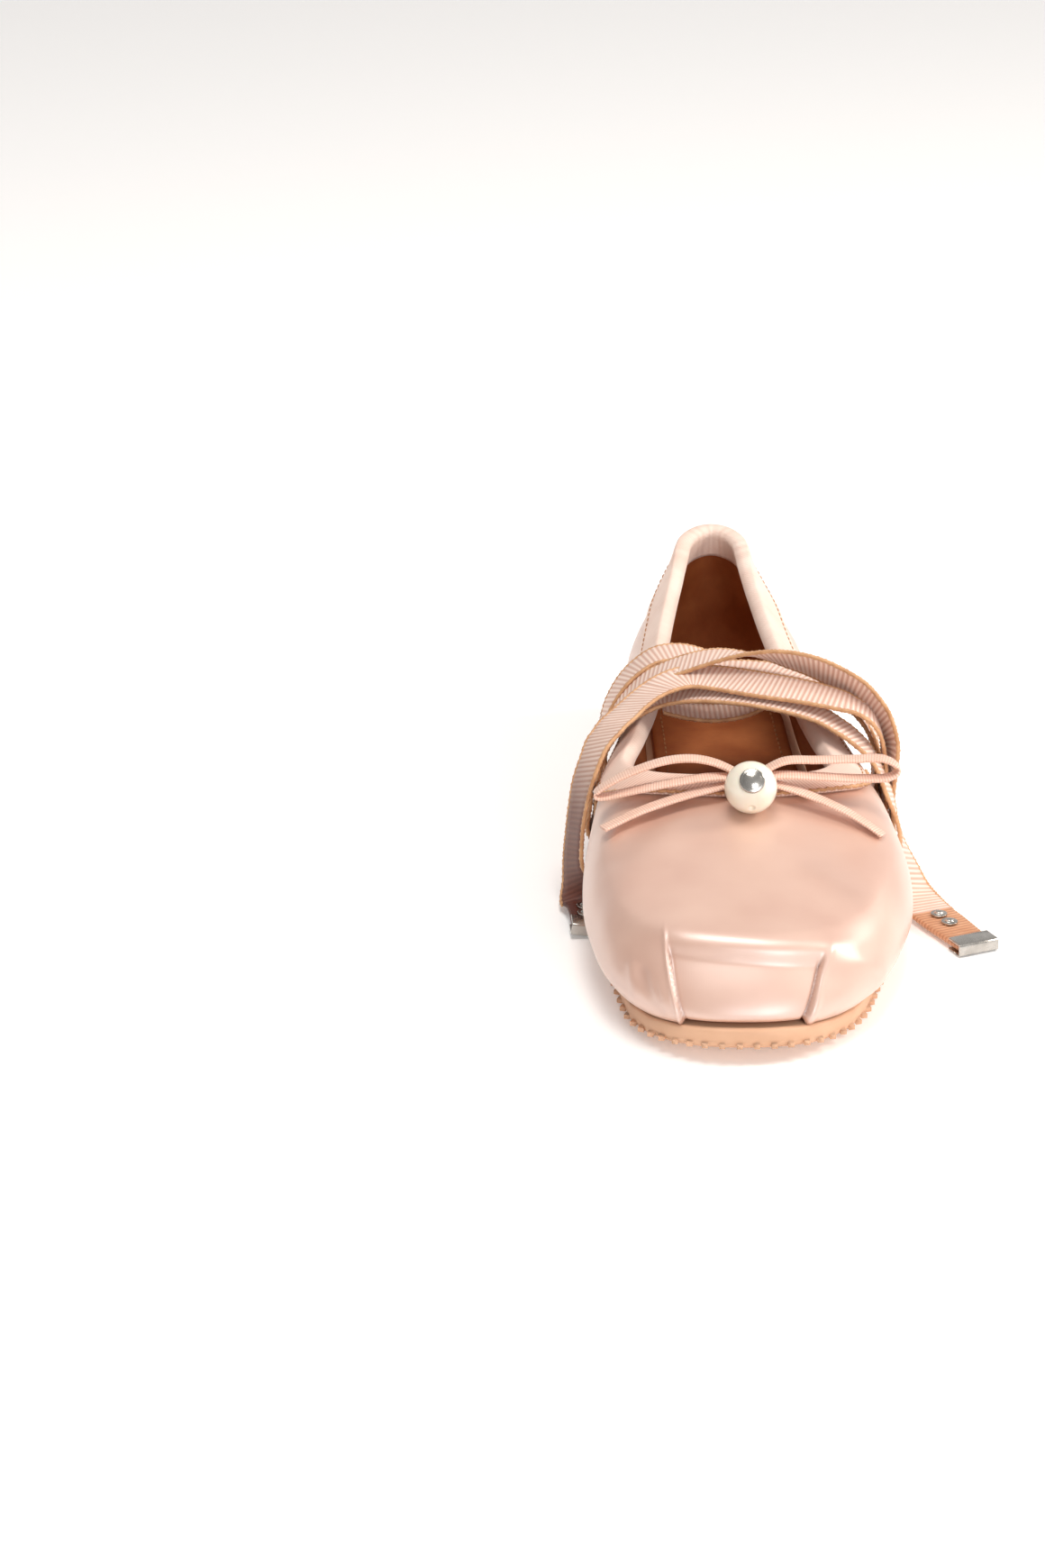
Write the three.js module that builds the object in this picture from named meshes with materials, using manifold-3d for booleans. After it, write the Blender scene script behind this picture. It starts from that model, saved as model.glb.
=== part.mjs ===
// A satin ballet flat for the left foot, in millimetres, standing on its sole.
// +Z is up, the toe points to -Y, the heel to +Y, and +X is the outer side of the foot.
// While the pieces are made, y counts from the tip of the toe. The whole shoe is moved at the end.

import * as THREE from "three";
import Module from "manifold-3d";
import { mergeVertices } from "three/addons/utils/BufferGeometryUtils.js";

const wasm = await Module();
wasm.setup();

// Driving sizes of the last
const LENGTH = 245;
const BALL_WIDTH = 84;
const HEEL_TOP = 56;
const THROAT_TOP = 38;

// Driving sizes of the walls and the sole
const WALL = 1.8;
const GAP = 0.3;
const SOLE_EDGE = 4.8;
const HEEL_SEAT = 8.6;
const TOE_SPRING = 4.2;
const ARCH_RISE = 2.6;
const FEATHER_INSET = 2;
const INSOLE_THICK = 1.6;
const INSOLE_ROOM = 1.3;
const INSOLE_REST = 0.6;

// Collar tape, folded over the open edge
const COLLAR_OUTER = 9.5;
const COLLAR_INNER = 7;
const COLLAR_THICK = 1;

// Trim
const BEAD = 13.5;
const BEAD_SEAT = 16;
const CAP = 6;
const CAP_THICK = 0.5;
const TIE_WIDTH = 12;
const TIE_THICK = 0.9;
const BOW_WIDTH = 4.5;
const BOW_THICK = 0.8;

// How fine the shells are cut
const TOE_STEPS = 19;
const SIDE_STEPS = 9;
const HEEL_STEPS = 10;
const OUTER_STEPS = 11;
const INNER_STEPS = 7;
const INNER_CROWD = 1.6;

// Plan outline: along is a share of LENGTH from the toe, the rest are shares of BALL_WIDTH
const OUTLINE = [
  { along: 0.0, centre: -0.05, sole: 0.335, body: 0.4 },
  { along: 0.07, centre: -0.038, sole: 0.354, body: 0.421 },
  { along: 0.145, centre: -0.023, sole: 0.376, body: 0.454 },
  { along: 0.22, centre: -0.01, sole: 0.416, body: 0.489 },
  { along: 0.294, centre: -0.003, sole: 0.438, body: 0.495 },
  { along: 0.376, centre: -0.003, sole: 0.425, body: 0.48 },
  { along: 0.46, centre: -0.003, sole: 0.38, body: 0.453 },
  { along: 0.56, centre: -0.003, sole: 0.33, body: 0.406 },
  { along: 0.66, centre: -0.01, sole: 0.3, body: 0.359 },
  { along: 0.76, centre: -0.021, sole: 0.29, body: 0.322 },
  { along: 0.88, centre: -0.032, sole: 0.288, body: 0.302 },
  { along: 1.0, centre: -0.038, sole: 0.284, body: 0.294 },
];

// The open edge: half is a share of BALL_WIDTH, rise a share of the way from THROAT_TOP to HEEL_TOP
const TOPLINE = [
  { along: 0.372, centre: -0.04, half: 0.324, rise: 0.0 },
  { along: 0.43, centre: -0.046, half: 0.328, rise: -0.03 },
  { along: 0.5, centre: -0.043, half: 0.293, rise: -0.05 },
  { along: 0.58, centre: -0.038, half: 0.253, rise: -0.01 },
  { along: 0.67, centre: -0.04, half: 0.218, rise: 0.1 },
  { along: 0.75, centre: -0.047, half: 0.188, rise: 0.26 },
  { along: 0.81, centre: -0.048, half: 0.164, rise: 0.41 },
  { along: 0.88, centre: -0.046, half: 0.133, rise: 0.65 },
  { along: 0.94, centre: -0.042, half: 0.109, rise: 0.91 },
  { along: 0.984, centre: -0.04, half: 0.098, rise: 1.0 },
];

// Heights of the sole: top runs from SOLE_EDGE at 0 to HEEL_SEAT at 1, spring is a share of TOE_SPRING
const SOLE_LEVELS = [
  { along: 0.0, top: 0.05, spring: 1.0 },
  { along: 0.05, top: 0.02, spring: 0.52 },
  { along: 0.1, top: 0.0, spring: 0.2 },
  { along: 0.16, top: 0.0, spring: 0.0 },
  { along: 0.2, top: 0.0, spring: 0.0 },
  { along: 0.4, top: 0.03, spring: 0.0 },
  { along: 0.5, top: 0.22, spring: 0.0 },
  { along: 0.6, top: 0.58, spring: 0.0 },
  { along: 0.7, top: 0.88, spring: 0.0 },
  { along: 0.8, top: 0.98, spring: 0.0 },
  { along: 1.0, top: 1.0, spring: 0.0 },
];

// Sections of the upper by turn, from 0 at the toe to 1 at the heel. The points low, mid and high bend
// the wall: lowOut is a share of BALL_WIDTH, In a share of the way in to the open edge, Up of the height.
const SECTIONS = [
  { turn: 0.0, lowOut: 0.012, lowUp: 0.1, midIn: 0.145, midUp: 0.62, highIn: 0.225, highUp: 0.655 },
  { turn: 0.04, lowOut: 0.012, lowUp: 0.1, midIn: 0.142, midUp: 0.615, highIn: 0.225, highUp: 0.66 },
  { turn: 0.08, lowOut: 0.014, lowUp: 0.12, midIn: 0.1, midUp: 0.57, highIn: 0.24, highUp: 0.7 },
  { turn: 0.13, lowOut: 0.016, lowUp: 0.13, midIn: 0.04, midUp: 0.52, highIn: 0.26, highUp: 0.78 },
  { turn: 0.223, lowOut: 0.018, lowUp: 0.14, midIn: -0.01, midUp: 0.52, highIn: 0.31, highUp: 0.87 },
  { turn: 0.317, lowOut: 0.017, lowUp: 0.13, midIn: -0.03, midUp: 0.5, highIn: 0.35, highUp: 0.88 },
  { turn: 0.45, lowOut: 0.014, lowUp: 0.11, midIn: -0.03, midUp: 0.46, highIn: 0.37, highUp: 0.87 },
  { turn: 0.6, lowOut: 0.012, lowUp: 0.1, midIn: -0.03, midUp: 0.43, highIn: 0.42, highUp: 0.82 },
  { turn: 0.8, lowOut: 0.01, lowUp: 0.09, midIn: -0.06, midUp: 0.41, highIn: 0.42, highUp: 0.77 },
  { turn: 1.0, lowOut: 0.008, lowUp: 0.08, midIn: -0.2, midUp: 0.42, highIn: 0.36, highUp: 0.77 },
];

// Rounding of the outlines at their ends, as shares of LENGTH with the power of each curve
const TOE_ROUND = { reach: 0.163, power: 2.5 };
const HEEL_ROUND = { reach: 0.16, power: 2.0 };
const THROAT_ROUND = { reach: 0.06, power: 3 };
const BACK_ROUND = { reach: 0.05, power: 2 };

// The middle line that the sections turn about, from the ball's fan to the heel's fan
const FAN_TOE = { along: 0.45, centre: -0.012 };
const FAN_HEEL = { along: 0.84, centre: -0.04 };
const TOE_TURN = 0.45;
const HEEL_TURN = 0.8;
const TURN_CROWD = 1.35;

// Flat face that the pleats leave at the toe: shares of BALL_WIDTH, its height and depth
const FACE = { centre: -0.04, foot: 0.178, head: 0.232, top: 26, arch: 3, depth: 0.8, fade: 0.3, end: 0.5 };

// The sole's underside, as shares of LENGTH
const ARCH = { front: 0.42, crown: 0.64, breast: 0.725 };
const FORE_TREAD = { from: 0.18, to: 0.4, pitch: 8 };
const HEEL_TREAD = { from: 0.765, to: 0.93, pitch: 8 };
const TREAD_GROOVE = { width: 1.6, depth: 0.9, margin: 7 };
const NIB = { pitch: 4.2, count: 17, width: 1.5, height: 1.1, proud: 0.7, root: 1.2 };

// Ties as they lie, from the tip to the end sewn inside: x from the foot's middle, y from the toe, z up.
// yaw and pitch are the heading and the rise of the tape's width in degrees, and lean turns it about
// its run. layers counts the tape where it is folded double, and share is the width that is left.
const INNER_TIE_END = [
  { x: -41.4, y: 76, z: 2.3, yaw: 184, pitch: 8, share: 0.58, layers: 2 },
  { x: -41.7, y: 80.5, z: 2.4, yaw: 181, pitch: 9, share: 0.62, layers: 2 },
  { x: -41.9, y: 87.6, z: 2.5, yaw: 178, pitch: 9, share: 0.7, layers: 2 },
  { x: -42.4, y: 92, z: 3, yaw: 162, pitch: 8, share: 0.82, layers: 1.8 },
  { x: -43.6, y: 95.6, z: 6, yaw: 134, pitch: 3, share: 0.94, layers: 1.2 },
  { x: -44.7, y: 98.2, z: 11, yaw: 112 },
  { x: -44.4, y: 100.8, z: 17.5, yaw: 107 },
  { x: -43.5, y: 103.6, z: 24.5, yaw: 106 },
  { x: -41.8, y: 107.4, z: 31.6, yaw: 106 },
  { x: -38.7, y: 112.5, z: 38.2, yaw: 102 },
  { x: -35, y: 118, z: 41.6, yaw: 96 },
  { x: -30.5, y: 124.8, z: 43.8 },
  { x: -24.5, y: 132, z: 46.2 },
];
const INNER_TIE_CROSSING = [
  { x: -18.4, y: 137, z: 47.8, lean: 4 },
  { x: -12.4, y: 139, z: 48.6, lean: 6 },
  { x: -5, y: 137, z: 48.9, lean: 8 },
  { x: 5.7, y: 132, z: 48.9, lean: 10 },
  { x: 17.7, y: 128.2, z: 48.2, lean: 8 },
  { x: 26.4, y: 126, z: 46.8, lean: 5 },
  { x: 31.2, y: 125.3, z: 45.2 },
  { x: 35.2, y: 124.6, z: 42.4 },
  { x: 37.6, y: 124.8, z: 37.6 },
  { x: 38.7, y: 125.2, z: 30.5 },
  { x: 39, y: 124.4, z: 22 },
  { x: 39.1, y: 123.6, z: 14 },
  { x: 39.4, y: 123, z: 9.6 },
  { x: 40.5, y: 122.8, z: 7.4 },
  { x: 41.6, y: 122.6, z: 9.6 },
  { x: 41, y: 122.5, z: 15 },
  { x: 40.7, y: 122.5, z: 23 },
  { x: 40.7, y: 122.8, z: 30.5, lean: 6 },
  { x: 40.3, y: 124.2, z: 36.2, lean: 16 },
  { x: 38, y: 127, z: 41.3, lean: 30 },
  { x: 34.2, y: 129.7, z: 45.4, lean: 40 },
  { x: 29.2, y: 132.3, z: 48.9, lean: 44 },
  { x: 20.7, y: 136, z: 52.2, lean: 44 },
  { x: 12, y: 139.5, z: 53.5, lean: 38 },
  { x: 2.5, y: 143, z: 53.4, lean: 20 },
  { x: -6, y: 145, z: 52.2, lean: 5 },
  { x: -13.5, y: 146.2, z: 49.8 },
  { x: -21, y: 147.8, z: 46.2 },
  { x: -28, y: 149, z: 41.4 },
  { x: -33, y: 149.4, z: 35.8 },
  { x: -35.2, y: 149, z: 28 },
  { x: -35.6, y: 148.7, z: 19 },
  { x: -35.7, y: 148.5, z: 11.5 },
  { x: -36.8, y: 148.4, z: 8.8 },
  { x: -37.9, y: 148.8, z: 11.5 },
  { x: -37.1, y: 150, z: 19 },
  { x: -36.7, y: 152, z: 26 },
  { x: -34.9, y: 154.5, z: 33 },
  { x: -31.5, y: 157.5, z: 38.8 },
  { x: -27, y: 160, z: 43.2 },
  { x: -21.4, y: 161.6, z: 46.3 },
  { x: -14.8, y: 162.6, z: 46.8 },
  { x: -8.6, y: 163.2, z: 45.2 },
  { x: -2.5, y: 164, z: 42 },
  { x: 4, y: 165, z: 37.8 },
  { x: 9.5, y: 165.5, z: 33.8 },
  { x: 13.7, y: 165.5, z: 31.2 },
];
const OUTER_TIE_END = [
  { x: 59, y: 66, z: 1.9, yaw: 22, share: 0.82, layers: 2 },
  { x: 55.3, y: 74, z: 1.9, yaw: 24, share: 0.92, layers: 2 },
  { x: 51.4, y: 82.5, z: 1.9, yaw: 24, layers: 2 },
  { x: 47.8, y: 90.5, z: 2.1, yaw: 28, layers: 1.5 },
  { x: 45.2, y: 97, z: 4, yaw: 42 },
  { x: 43.8, y: 101, z: 9.4, yaw: 68 },
  { x: 41.7, y: 105.5, z: 17.5, yaw: 91 },
  { x: 38.9, y: 110, z: 26.5, yaw: 86 },
  { x: 36.6, y: 113, z: 31.8 },
  { x: 33.8, y: 115.6, z: 35.9 },
];
const OUTER_TIE_CROSSING = [
  { x: 30.2, y: 118, z: 39 },
  { x: 26.2, y: 120.2, z: 41.4 },
  { x: 20, y: 123.3, z: 44 },
  { x: 11, y: 127, z: 45.6 },
  { x: 0, y: 131.6, z: 46 },
  { x: -11, y: 136.4, z: 44.9 },
  { x: -21, y: 138, z: 42.8 },
  { x: -29.5, y: 135.2, z: 39 },
  { x: -35.2, y: 132, z: 32.8 },
  { x: -37.7, y: 130.2, z: 25 },
  { x: -38.3, y: 129.6, z: 16.5 },
  { x: -38.4, y: 129.4, z: 11 },
  { x: -39.5, y: 129.3, z: 8.2 },
  { x: -40.6, y: 129.6, z: 11 },
  { x: -39.8, y: 130.4, z: 17.5 },
  { x: -39.2, y: 132.6, z: 25.5 },
  { x: -36.6, y: 137.5, z: 32 },
  { x: -31.8, y: 143, z: 36.6 },
  { x: -26.6, y: 146.8, z: 41.2 },
  { x: -20.8, y: 148.6, z: 45.2 },
  { x: -14, y: 149.8, z: 46.2 },
  { x: -5, y: 150.2, z: 46.6 },
  { x: 4, y: 149, z: 46.9 },
  { x: 12, y: 146.3, z: 46.9 },
  { x: 19, y: 143.2, z: 46.2 },
  { x: 25, y: 140.2, z: 44.4 },
  { x: 30.5, y: 137.8, z: 41 },
  { x: 34.8, y: 136.3, z: 35.5 },
  { x: 36.9, y: 135.6, z: 28 },
  { x: 37.3, y: 135.4, z: 18.5 },
  { x: 37.5, y: 135.4, z: 11 },
  { x: 38.6, y: 135.4, z: 8.4 },
  { x: 39.7, y: 135.6, z: 11 },
  { x: 38.8, y: 136, z: 18 },
  { x: 38.4, y: 137.6, z: 26.5 },
  { x: 36, y: 141, z: 33.8 },
  { x: 30.8, y: 145.6, z: 39.6 },
  { x: 24.8, y: 149, z: 42.6 },
  { x: 18.4, y: 151, z: 43.2 },
  { x: 12.8, y: 152, z: 41.2 },
  { x: 7.8, y: 152.3, z: 37 },
  { x: 2.5, y: 152.3, z: 34.4 },
  { x: -5, y: 152, z: 33.2 },
  { x: -12.5, y: 151.8, z: 33.8 },
  { x: -20, y: 151.5, z: 35.8 },
];
const TIE_CUTS = 1.5;
const TIE_JOIN = 0.3;

// Metal tip and rivets of a tie
const TIP = { length: 6, thick: 0.5, room: 0.25, cover: 5 };
const RIVET = { radius: 2.2, rim: 0.5, dome: 1.3, crown: 1.1 };
const INNER_RIVETS = [1.41, 2.06];
const OUTER_RIVETS = [1.6, 2.2];

// Bow, with y from the front of the opening and z from its height
const BOW_STRIPS = [
  [
    { x: -1.5, y: -6.5, z: 4 },
    { x: -8, y: -4.8, z: 6.6 },
    { x: -14.5, y: -4.1, z: 7.6 },
    { x: -22, y: -4.5, z: 6.9 },
    { x: -31, y: -5.6, z: 4 },
    { x: -37, y: -6.6, z: 0.9 },
    { x: -39.2, y: -7.1, z: -1.1 },
    { x: -36.8, y: -7.6, z: -1.6 },
    { x: -28, y: -8.1, z: 0.6 },
    { x: -18, y: -8.5, z: 2.9 },
    { x: -9.5, y: -8.1, z: 4.1 },
    { x: -1.5, y: -6.9, z: 3.3 },
  ],
  [
    { x: 2.7, y: -6.5, z: 4.2 },
    { x: 9.5, y: -5.1, z: 7.3 },
    { x: 18, y: -4.8, z: 7.5 },
    { x: 28, y: -5.1, z: 7.9 },
    { x: 35, y: -5.8, z: 8.2 },
    { x: 38.8, y: -6.9, z: 6 },
    { x: 36.2, y: -7.8, z: 3.9 },
    { x: 28, y: -8.1, z: 3.7 },
    { x: 17, y: -8.1, z: 4.3 },
    { x: 9.5, y: -7.9, z: 4.6 },
    { x: 2.7, y: -6.9, z: 3.6 },
  ],
  [
    { x: -1.5, y: -7.3, z: 2.7 },
    { x: -9, y: -10.1, z: 1.8 },
    { x: -18, y: -12.5, z: 0.1 },
    { x: -28, y: -15.8, z: -2.3 },
    { x: -37.5, y: -19.6, z: -5.6 },
  ],
  [
    { x: 2.7, y: -7.3, z: 3 },
    { x: 10, y: -10.5, z: 2.2 },
    { x: 17, y: -13.6, z: 0.7 },
    { x: 24, y: -16.9, z: -1.4 },
    { x: 30, y: -19.7, z: -4.1 },
    { x: 34, y: -21.9, z: -6.4 },
  ],
];
const KNOT = { x: 0.6, y: -6.7, z: 3.4, width: 9.6, depth: 5.6, height: 5.6 };
const BEAD_TURN = 0.01;
const CAP_TILT = 36;

// Reads a column of a table at a share, smoothly between the rows
function track(table, column, at, key = "along") {
  const last = table.length - 1;
  const x = Math.min(Math.max(at, table[0][key]), table[last][key]);
  let i = 0;
  while (i < last - 1 && x > table[i + 1][key]) i += 1;
  const slope = (k) => {
    const a = Math.max(k - 1, 0);
    const b = Math.min(k + 1, last);
    return (table[b][column] - table[a][column]) / (table[b][key] - table[a][key]);
  };
  const span = table[i + 1][key] - table[i][key];
  const t = (x - table[i][key]) / span;
  const p = table[i][column];
  const q = table[i + 1][column];
  const m = slope(i) * span;
  const n = slope(i + 1) * span;
  const t2 = t * t;
  const t3 = t2 * t;
  return p * (2 * t3 - 3 * t2 + 1) + m * (t3 - 2 * t2 + t) + q * (3 * t2 - 2 * t3) + n * (t3 - t2);
}

// How much of the width is left near an end, from 0 at the end to 1
function rounded(distance, end) {
  const length = end.reach * LENGTH;
  if (distance >= length) return 1;
  if (distance <= 0) return 0;
  return (1 - (1 - distance / length) ** end.power) ** (1 / end.power);
}

// Half width and centre of each outline at a distance from the toe
function outlineWidth(column, y, front, back) {
  const half = track(OUTLINE, column, y / LENGTH) * rounded(y - front, TOE_ROUND) * rounded(back - y, HEEL_ROUND);
  return { centre: track(OUTLINE, "centre", y / LENGTH) * BALL_WIDTH, half: half * BALL_WIDTH };
}

function soleWidth(y) {
  return outlineWidth("sole", y, 0, LENGTH - FEATHER_INSET / 2);
}

function bodyWidth(y) {
  return outlineWidth("body", y, 0, LENGTH);
}

function openWidth(y) {
  const front = TOPLINE[0].along * LENGTH;
  const back = TOPLINE[TOPLINE.length - 1].along * LENGTH;
  const ends = rounded(y - front, THROAT_ROUND) * rounded(back - y, BACK_ROUND);
  const half = track(TOPLINE, "half", y / LENGTH) * ends;
  return { centre: track(TOPLINE, "centre", y / LENGTH) * BALL_WIDTH, half: half * BALL_WIDTH };
}

function topHeight(y) {
  return THROAT_TOP + track(TOPLINE, "rise", y / LENGTH) * (HEEL_TOP - THROAT_TOP);
}

function soleBottom(y) {
  return Math.max(track(SOLE_LEVELS, "spring", y / LENGTH), 0) * TOE_SPRING;
}

function soleTop(y) {
  return SOLE_EDGE + track(SOLE_LEVELS, "top", y / LENGTH) * (HEEL_SEAT - SOLE_EDGE) + soleBottom(y);
}

// The ray of the sections at a signed turn: minus on the inner side, plus on the outer side
function ray(turn) {
  const side = turn < 0 ? -1 : 1;
  const t = Math.abs(turn);
  const toe = new THREE.Vector2(FAN_TOE.centre * BALL_WIDTH, FAN_TOE.along * LENGTH);
  const heel = new THREE.Vector2(FAN_HEEL.centre * BALL_WIDTH, FAN_HEEL.along * LENGTH);
  const quarter = Math.PI / 2;
  const start = toe.clone();
  let angle = quarter;
  if (t < TOE_TURN) angle = (quarter * t) / TOE_TURN;
  else if (t <= HEEL_TURN) start.lerp(heel, (t - TOE_TURN) / (HEEL_TURN - TOE_TURN));
  else {
    start.copy(heel);
    angle = quarter + (quarter * (t - HEEL_TURN)) / (1 - HEEL_TURN);
  }
  return { start, out: new THREE.Vector2(side * Math.sin(angle), -Math.cos(angle)) };
}

function along(line, r) {
  return line.start.clone().addScaledVector(line.out, r);
}

// Distance along a ray to an outline, halving the span between a point inside and one outside
function reach(line, width) {
  let near = 0;
  let far = LENGTH;
  for (let i = 0; i < 40; i += 1) {
    const r = (near + far) / 2;
    const at = along(line, r);
    const here = width(at.y);
    if (Math.abs(at.x - here.centre) < here.half) near = r;
    else far = r;
  }
  return near;
}

// The five points that bend one section, as distance out and height
const sections = new Map();
function section(turn) {
  if (sections.has(turn)) return sections.get(turn);
  const line = ray(turn);
  const body = reach(line, bodyWidth);
  const open = reach(line, openWidth);
  const foot = reach(line, soleWidth) - FEATHER_INSET;
  const inward = body - open;
  const low = soleTop(along(line, foot).y) + GAP;
  const height = topHeight(along(line, open).y) - low;
  const of = (column) => track(SECTIONS, column, Math.abs(turn), "turn");
  const points = [
    [foot, low],
    [body + of("lowOut") * BALL_WIDTH, low + of("lowUp") * height],
    [body - of("midIn") * inward, low + of("midUp") * height],
    [body - of("highIn") * inward, low + of("highUp") * height],
    [open, low + height],
  ];
  const made = { line, points };
  sections.set(turn, made);
  return made;
}

// A point of the last's surface: v runs from the sole at 0 to the open edge at 1
function surface(turn, v) {
  const { line, points } = section(turn);
  const arcs = points.length - 2;
  const at = Math.min(Math.max(v, 0), 1) * arcs;
  const k = Math.min(Math.floor(at), arcs - 1);
  const t = at - k;
  const middle = (i) => [(points[i][0] + points[i + 1][0]) / 2, (points[i][1] + points[i + 1][1]) / 2];
  const start = k === 0 ? points[0] : middle(k);
  const end = k === arcs - 1 ? points[arcs + 1] : middle(k + 1);
  const mix = (i) => (1 - t) ** 2 * start[i] + 2 * t * (1 - t) * points[k + 1][i] + t * t * end[i];
  const place = along(line, mix(0));
  return new THREE.Vector3(place.x, place.y, mix(1));
}

function wrapTurn(turn) {
  if (turn > 1) return turn - 2;
  if (turn < -1) return turn + 2;
  return turn;
}

const SMALL = 1e-3;
function climb(turn, v) {
  return surface(turn, Math.min(v + SMALL, 1)).sub(surface(turn, Math.max(v - SMALL, 0))).normalize();
}

function normalAt(turn, v) {
  const round = surface(wrapTurn(turn + SMALL), v).sub(surface(wrapTurn(turn - SMALL), v));
  return round.cross(climb(turn, v)).normalize();
}

// The surface moved out along its normal, and up past the open edge by lift
function offsetPoint(turn, v, out, lift = 0) {
  return surface(turn, v).addScaledVector(normalAt(turn, v), out).addScaledVector(climb(turn, v), lift);
}

// The place on a section that lies a distance below the open edge, measured on the surface
function belowEdge(turn, distance) {
  const step = 0.004;
  let left = distance;
  let v = 1;
  while (left > 0 && v > 0) {
    const length = surface(turn, v).distanceTo(surface(turn, v - step));
    v -= step * Math.min(1, left / length);
    left -= length;
  }
  return v;
}

// Turns of the sections once round the foot, close together at the toe
function turnsRound() {
  const half = [];
  for (let i = 0; i < TOE_STEPS; i += 1) half.push(TOE_TURN * (i / TOE_STEPS) ** TURN_CROWD);
  for (let i = 0; i < SIDE_STEPS; i += 1) half.push(TOE_TURN + ((HEEL_TURN - TOE_TURN) * i) / SIDE_STEPS);
  for (let i = 0; i <= HEEL_STEPS; i += 1) half.push(HEEL_TURN + ((1 - HEEL_TURN) * i) / HEEL_STEPS);
  const back = half.slice(1, -1).reverse().map((t) => -t);
  return half.concat(back);
}

const TURNS = turnsRound();

// Hands a mesh over for joining and cutting, turned round where its faces point in
function solidFrom(positions, faces) {
  const raw = new THREE.BufferGeometry();
  raw.setAttribute("position", new THREE.BufferAttribute(positions, 3));
  raw.setIndex(faces);
  const merged = mergeVertices(raw, 1e-4);
  const index = merged.index.array;
  const points = merged.attributes.position.array;
  const kept = [];
  for (let i = 0; i < index.length; i += 3) {
    const [a, b, c] = [index[i], index[i + 1], index[i + 2]];
    if (a !== b && b !== c && c !== a) kept.push(a, b, c);
  }
  let volume = 0;
  for (let i = 0; i < kept.length; i += 3) {
    const corner = (k) => new THREE.Vector3().fromArray(points, kept[i + k] * 3);
    volume += corner(0).dot(corner(1).cross(corner(2)));
  }
  if (volume < 0) {
    for (let i = 0; i < kept.length; i += 3) [kept[i + 1], kept[i + 2]] = [kept[i + 2], kept[i + 1]];
  }
  return new wasm.Manifold(new wasm.Mesh({
    numProp: 3,
    vertProperties: new Float32Array(points),
    triVerts: new Uint32Array(kept),
  }));
}

function solidFromGeometry(source) {
  const count = source.attributes.position.count;
  const faces = source.index ? Array.from(source.index.array) : Array.from({ length: count }, (_, i) => i);
  return solidFrom(new Float32Array(source.attributes.position.array), faces);
}

function toGeometry(solid) {
  const mesh = solid.getMesh();
  const made = new THREE.BufferGeometry();
  made.setAttribute("position", new THREE.BufferAttribute(new Float32Array(mesh.vertProperties), 3));
  made.setIndex(Array.from(mesh.triVerts));
  made.computeVertexNormals();
  return made;
}

// Joins rings of points into a closed body: one that closes on itself, or one with two flat ends
function ringBody(rings, closed) {
  const count = rings[0].length;
  const positions = rings.flat().flatMap((p) => [p.x, p.y, p.z]);
  const faces = [];
  const last = closed ? rings.length : rings.length - 1;
  for (let r = 0; r < last; r += 1) {
    const a = r * count;
    const b = ((r + 1) % rings.length) * count;
    for (let i = 0; i < count; i += 1) {
      const j = (i + 1) % count;
      faces.push(a + i, a + j, b + j, a + i, b + j, b + i);
    }
  }
  const top = (rings.length - 1) * count;
  const half = closed ? 0 : count / 2;
  for (let i = 0; i < half; i += 1) {
    const back = (count - i) % count;
    const next = count - i - 1;
    if (i > 0) faces.push(i + 1, i, back, top + i, top + i + 1, top + back);
    if (i < half - 1) faces.push(i + 1, back, next, top + i + 1, top + next, top + back);
  }
  return solidFrom(new Float32Array(positions), faces);
}

// A wall that follows the last between two depths, from the sole, or foot below it, up to v1
function shell(outside, inside, v1, foot = 0) {
  const ring = (v, depth) => TURNS.map((turn) => offsetPoint(turn, v, depth(v), v > 0 ? 0 : -foot));
  const rings = [];
  for (let i = 0; i <= OUTER_STEPS; i += 1) rings.push(ring((v1 * i) / OUTER_STEPS, outside));
  for (let i = INNER_STEPS; i >= 0; i -= 1) {
    rings.push(ring(v1 * (1 - (1 - i / INNER_STEPS) ** INNER_CROWD), inside));
  }
  return ringBody(rings, true);
}

// A ring that follows the sole's outline at an inset, at the height that a function gives
function soleRing(inset, height) {
  return TURNS.map((turn) => {
    const line = ray(turn);
    const at = along(line, reach(line, soleWidth) - inset);
    return new THREE.Vector3(at.x, at.y, height(at.y));
  });
}

// Upper
function makeUpper() {
  const wall = shell(() => 0, () => -WALL, 1);
  const foot = FACE.foot * BALL_WIDTH;
  const head = FACE.head * BALL_WIDTH;
  const outline = new THREE.Shape();
  outline.moveTo(-foot, 0);
  outline.lineTo(foot, 0);
  outline.quadraticCurveTo(head, FACE.top / 2, head, FACE.top);
  outline.quadraticCurveTo(0, FACE.top + 2 * FACE.arch, -head, FACE.top);
  outline.quadraticCurveTo(-head, FACE.top / 2, -foot, 0);
  const reachBack = 2 * FACE.top;
  const prism = new THREE.ExtrudeGeometry(outline, { depth: reachBack, bevelEnabled: false, curveSegments: 5 });
  prism.rotateX(Math.PI / 2);
  prism.translate(FACE.centre * BALL_WIDTH, reachBack / 2, 0);
  const share = (v) => THREE.MathUtils.clamp((FACE.end - v) / (FACE.end - FACE.fade), 0, 1);
  const depth = (v) => THREE.MathUtils.lerp(0.1, -FACE.depth, share(v));
  const recess = shell(() => WALL, depth, FACE.end, 1).intersect(solidFromGeometry(prism));
  return toGeometry(wall.subtract(recess));
}

// Outsole
function box(width, length, height, x, y, z, turn = 0) {
  const made = new THREE.BoxGeometry(width, length, height);
  made.rotateZ(turn);
  made.translate(x, y, z);
  return solidFromGeometry(made);
}

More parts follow.
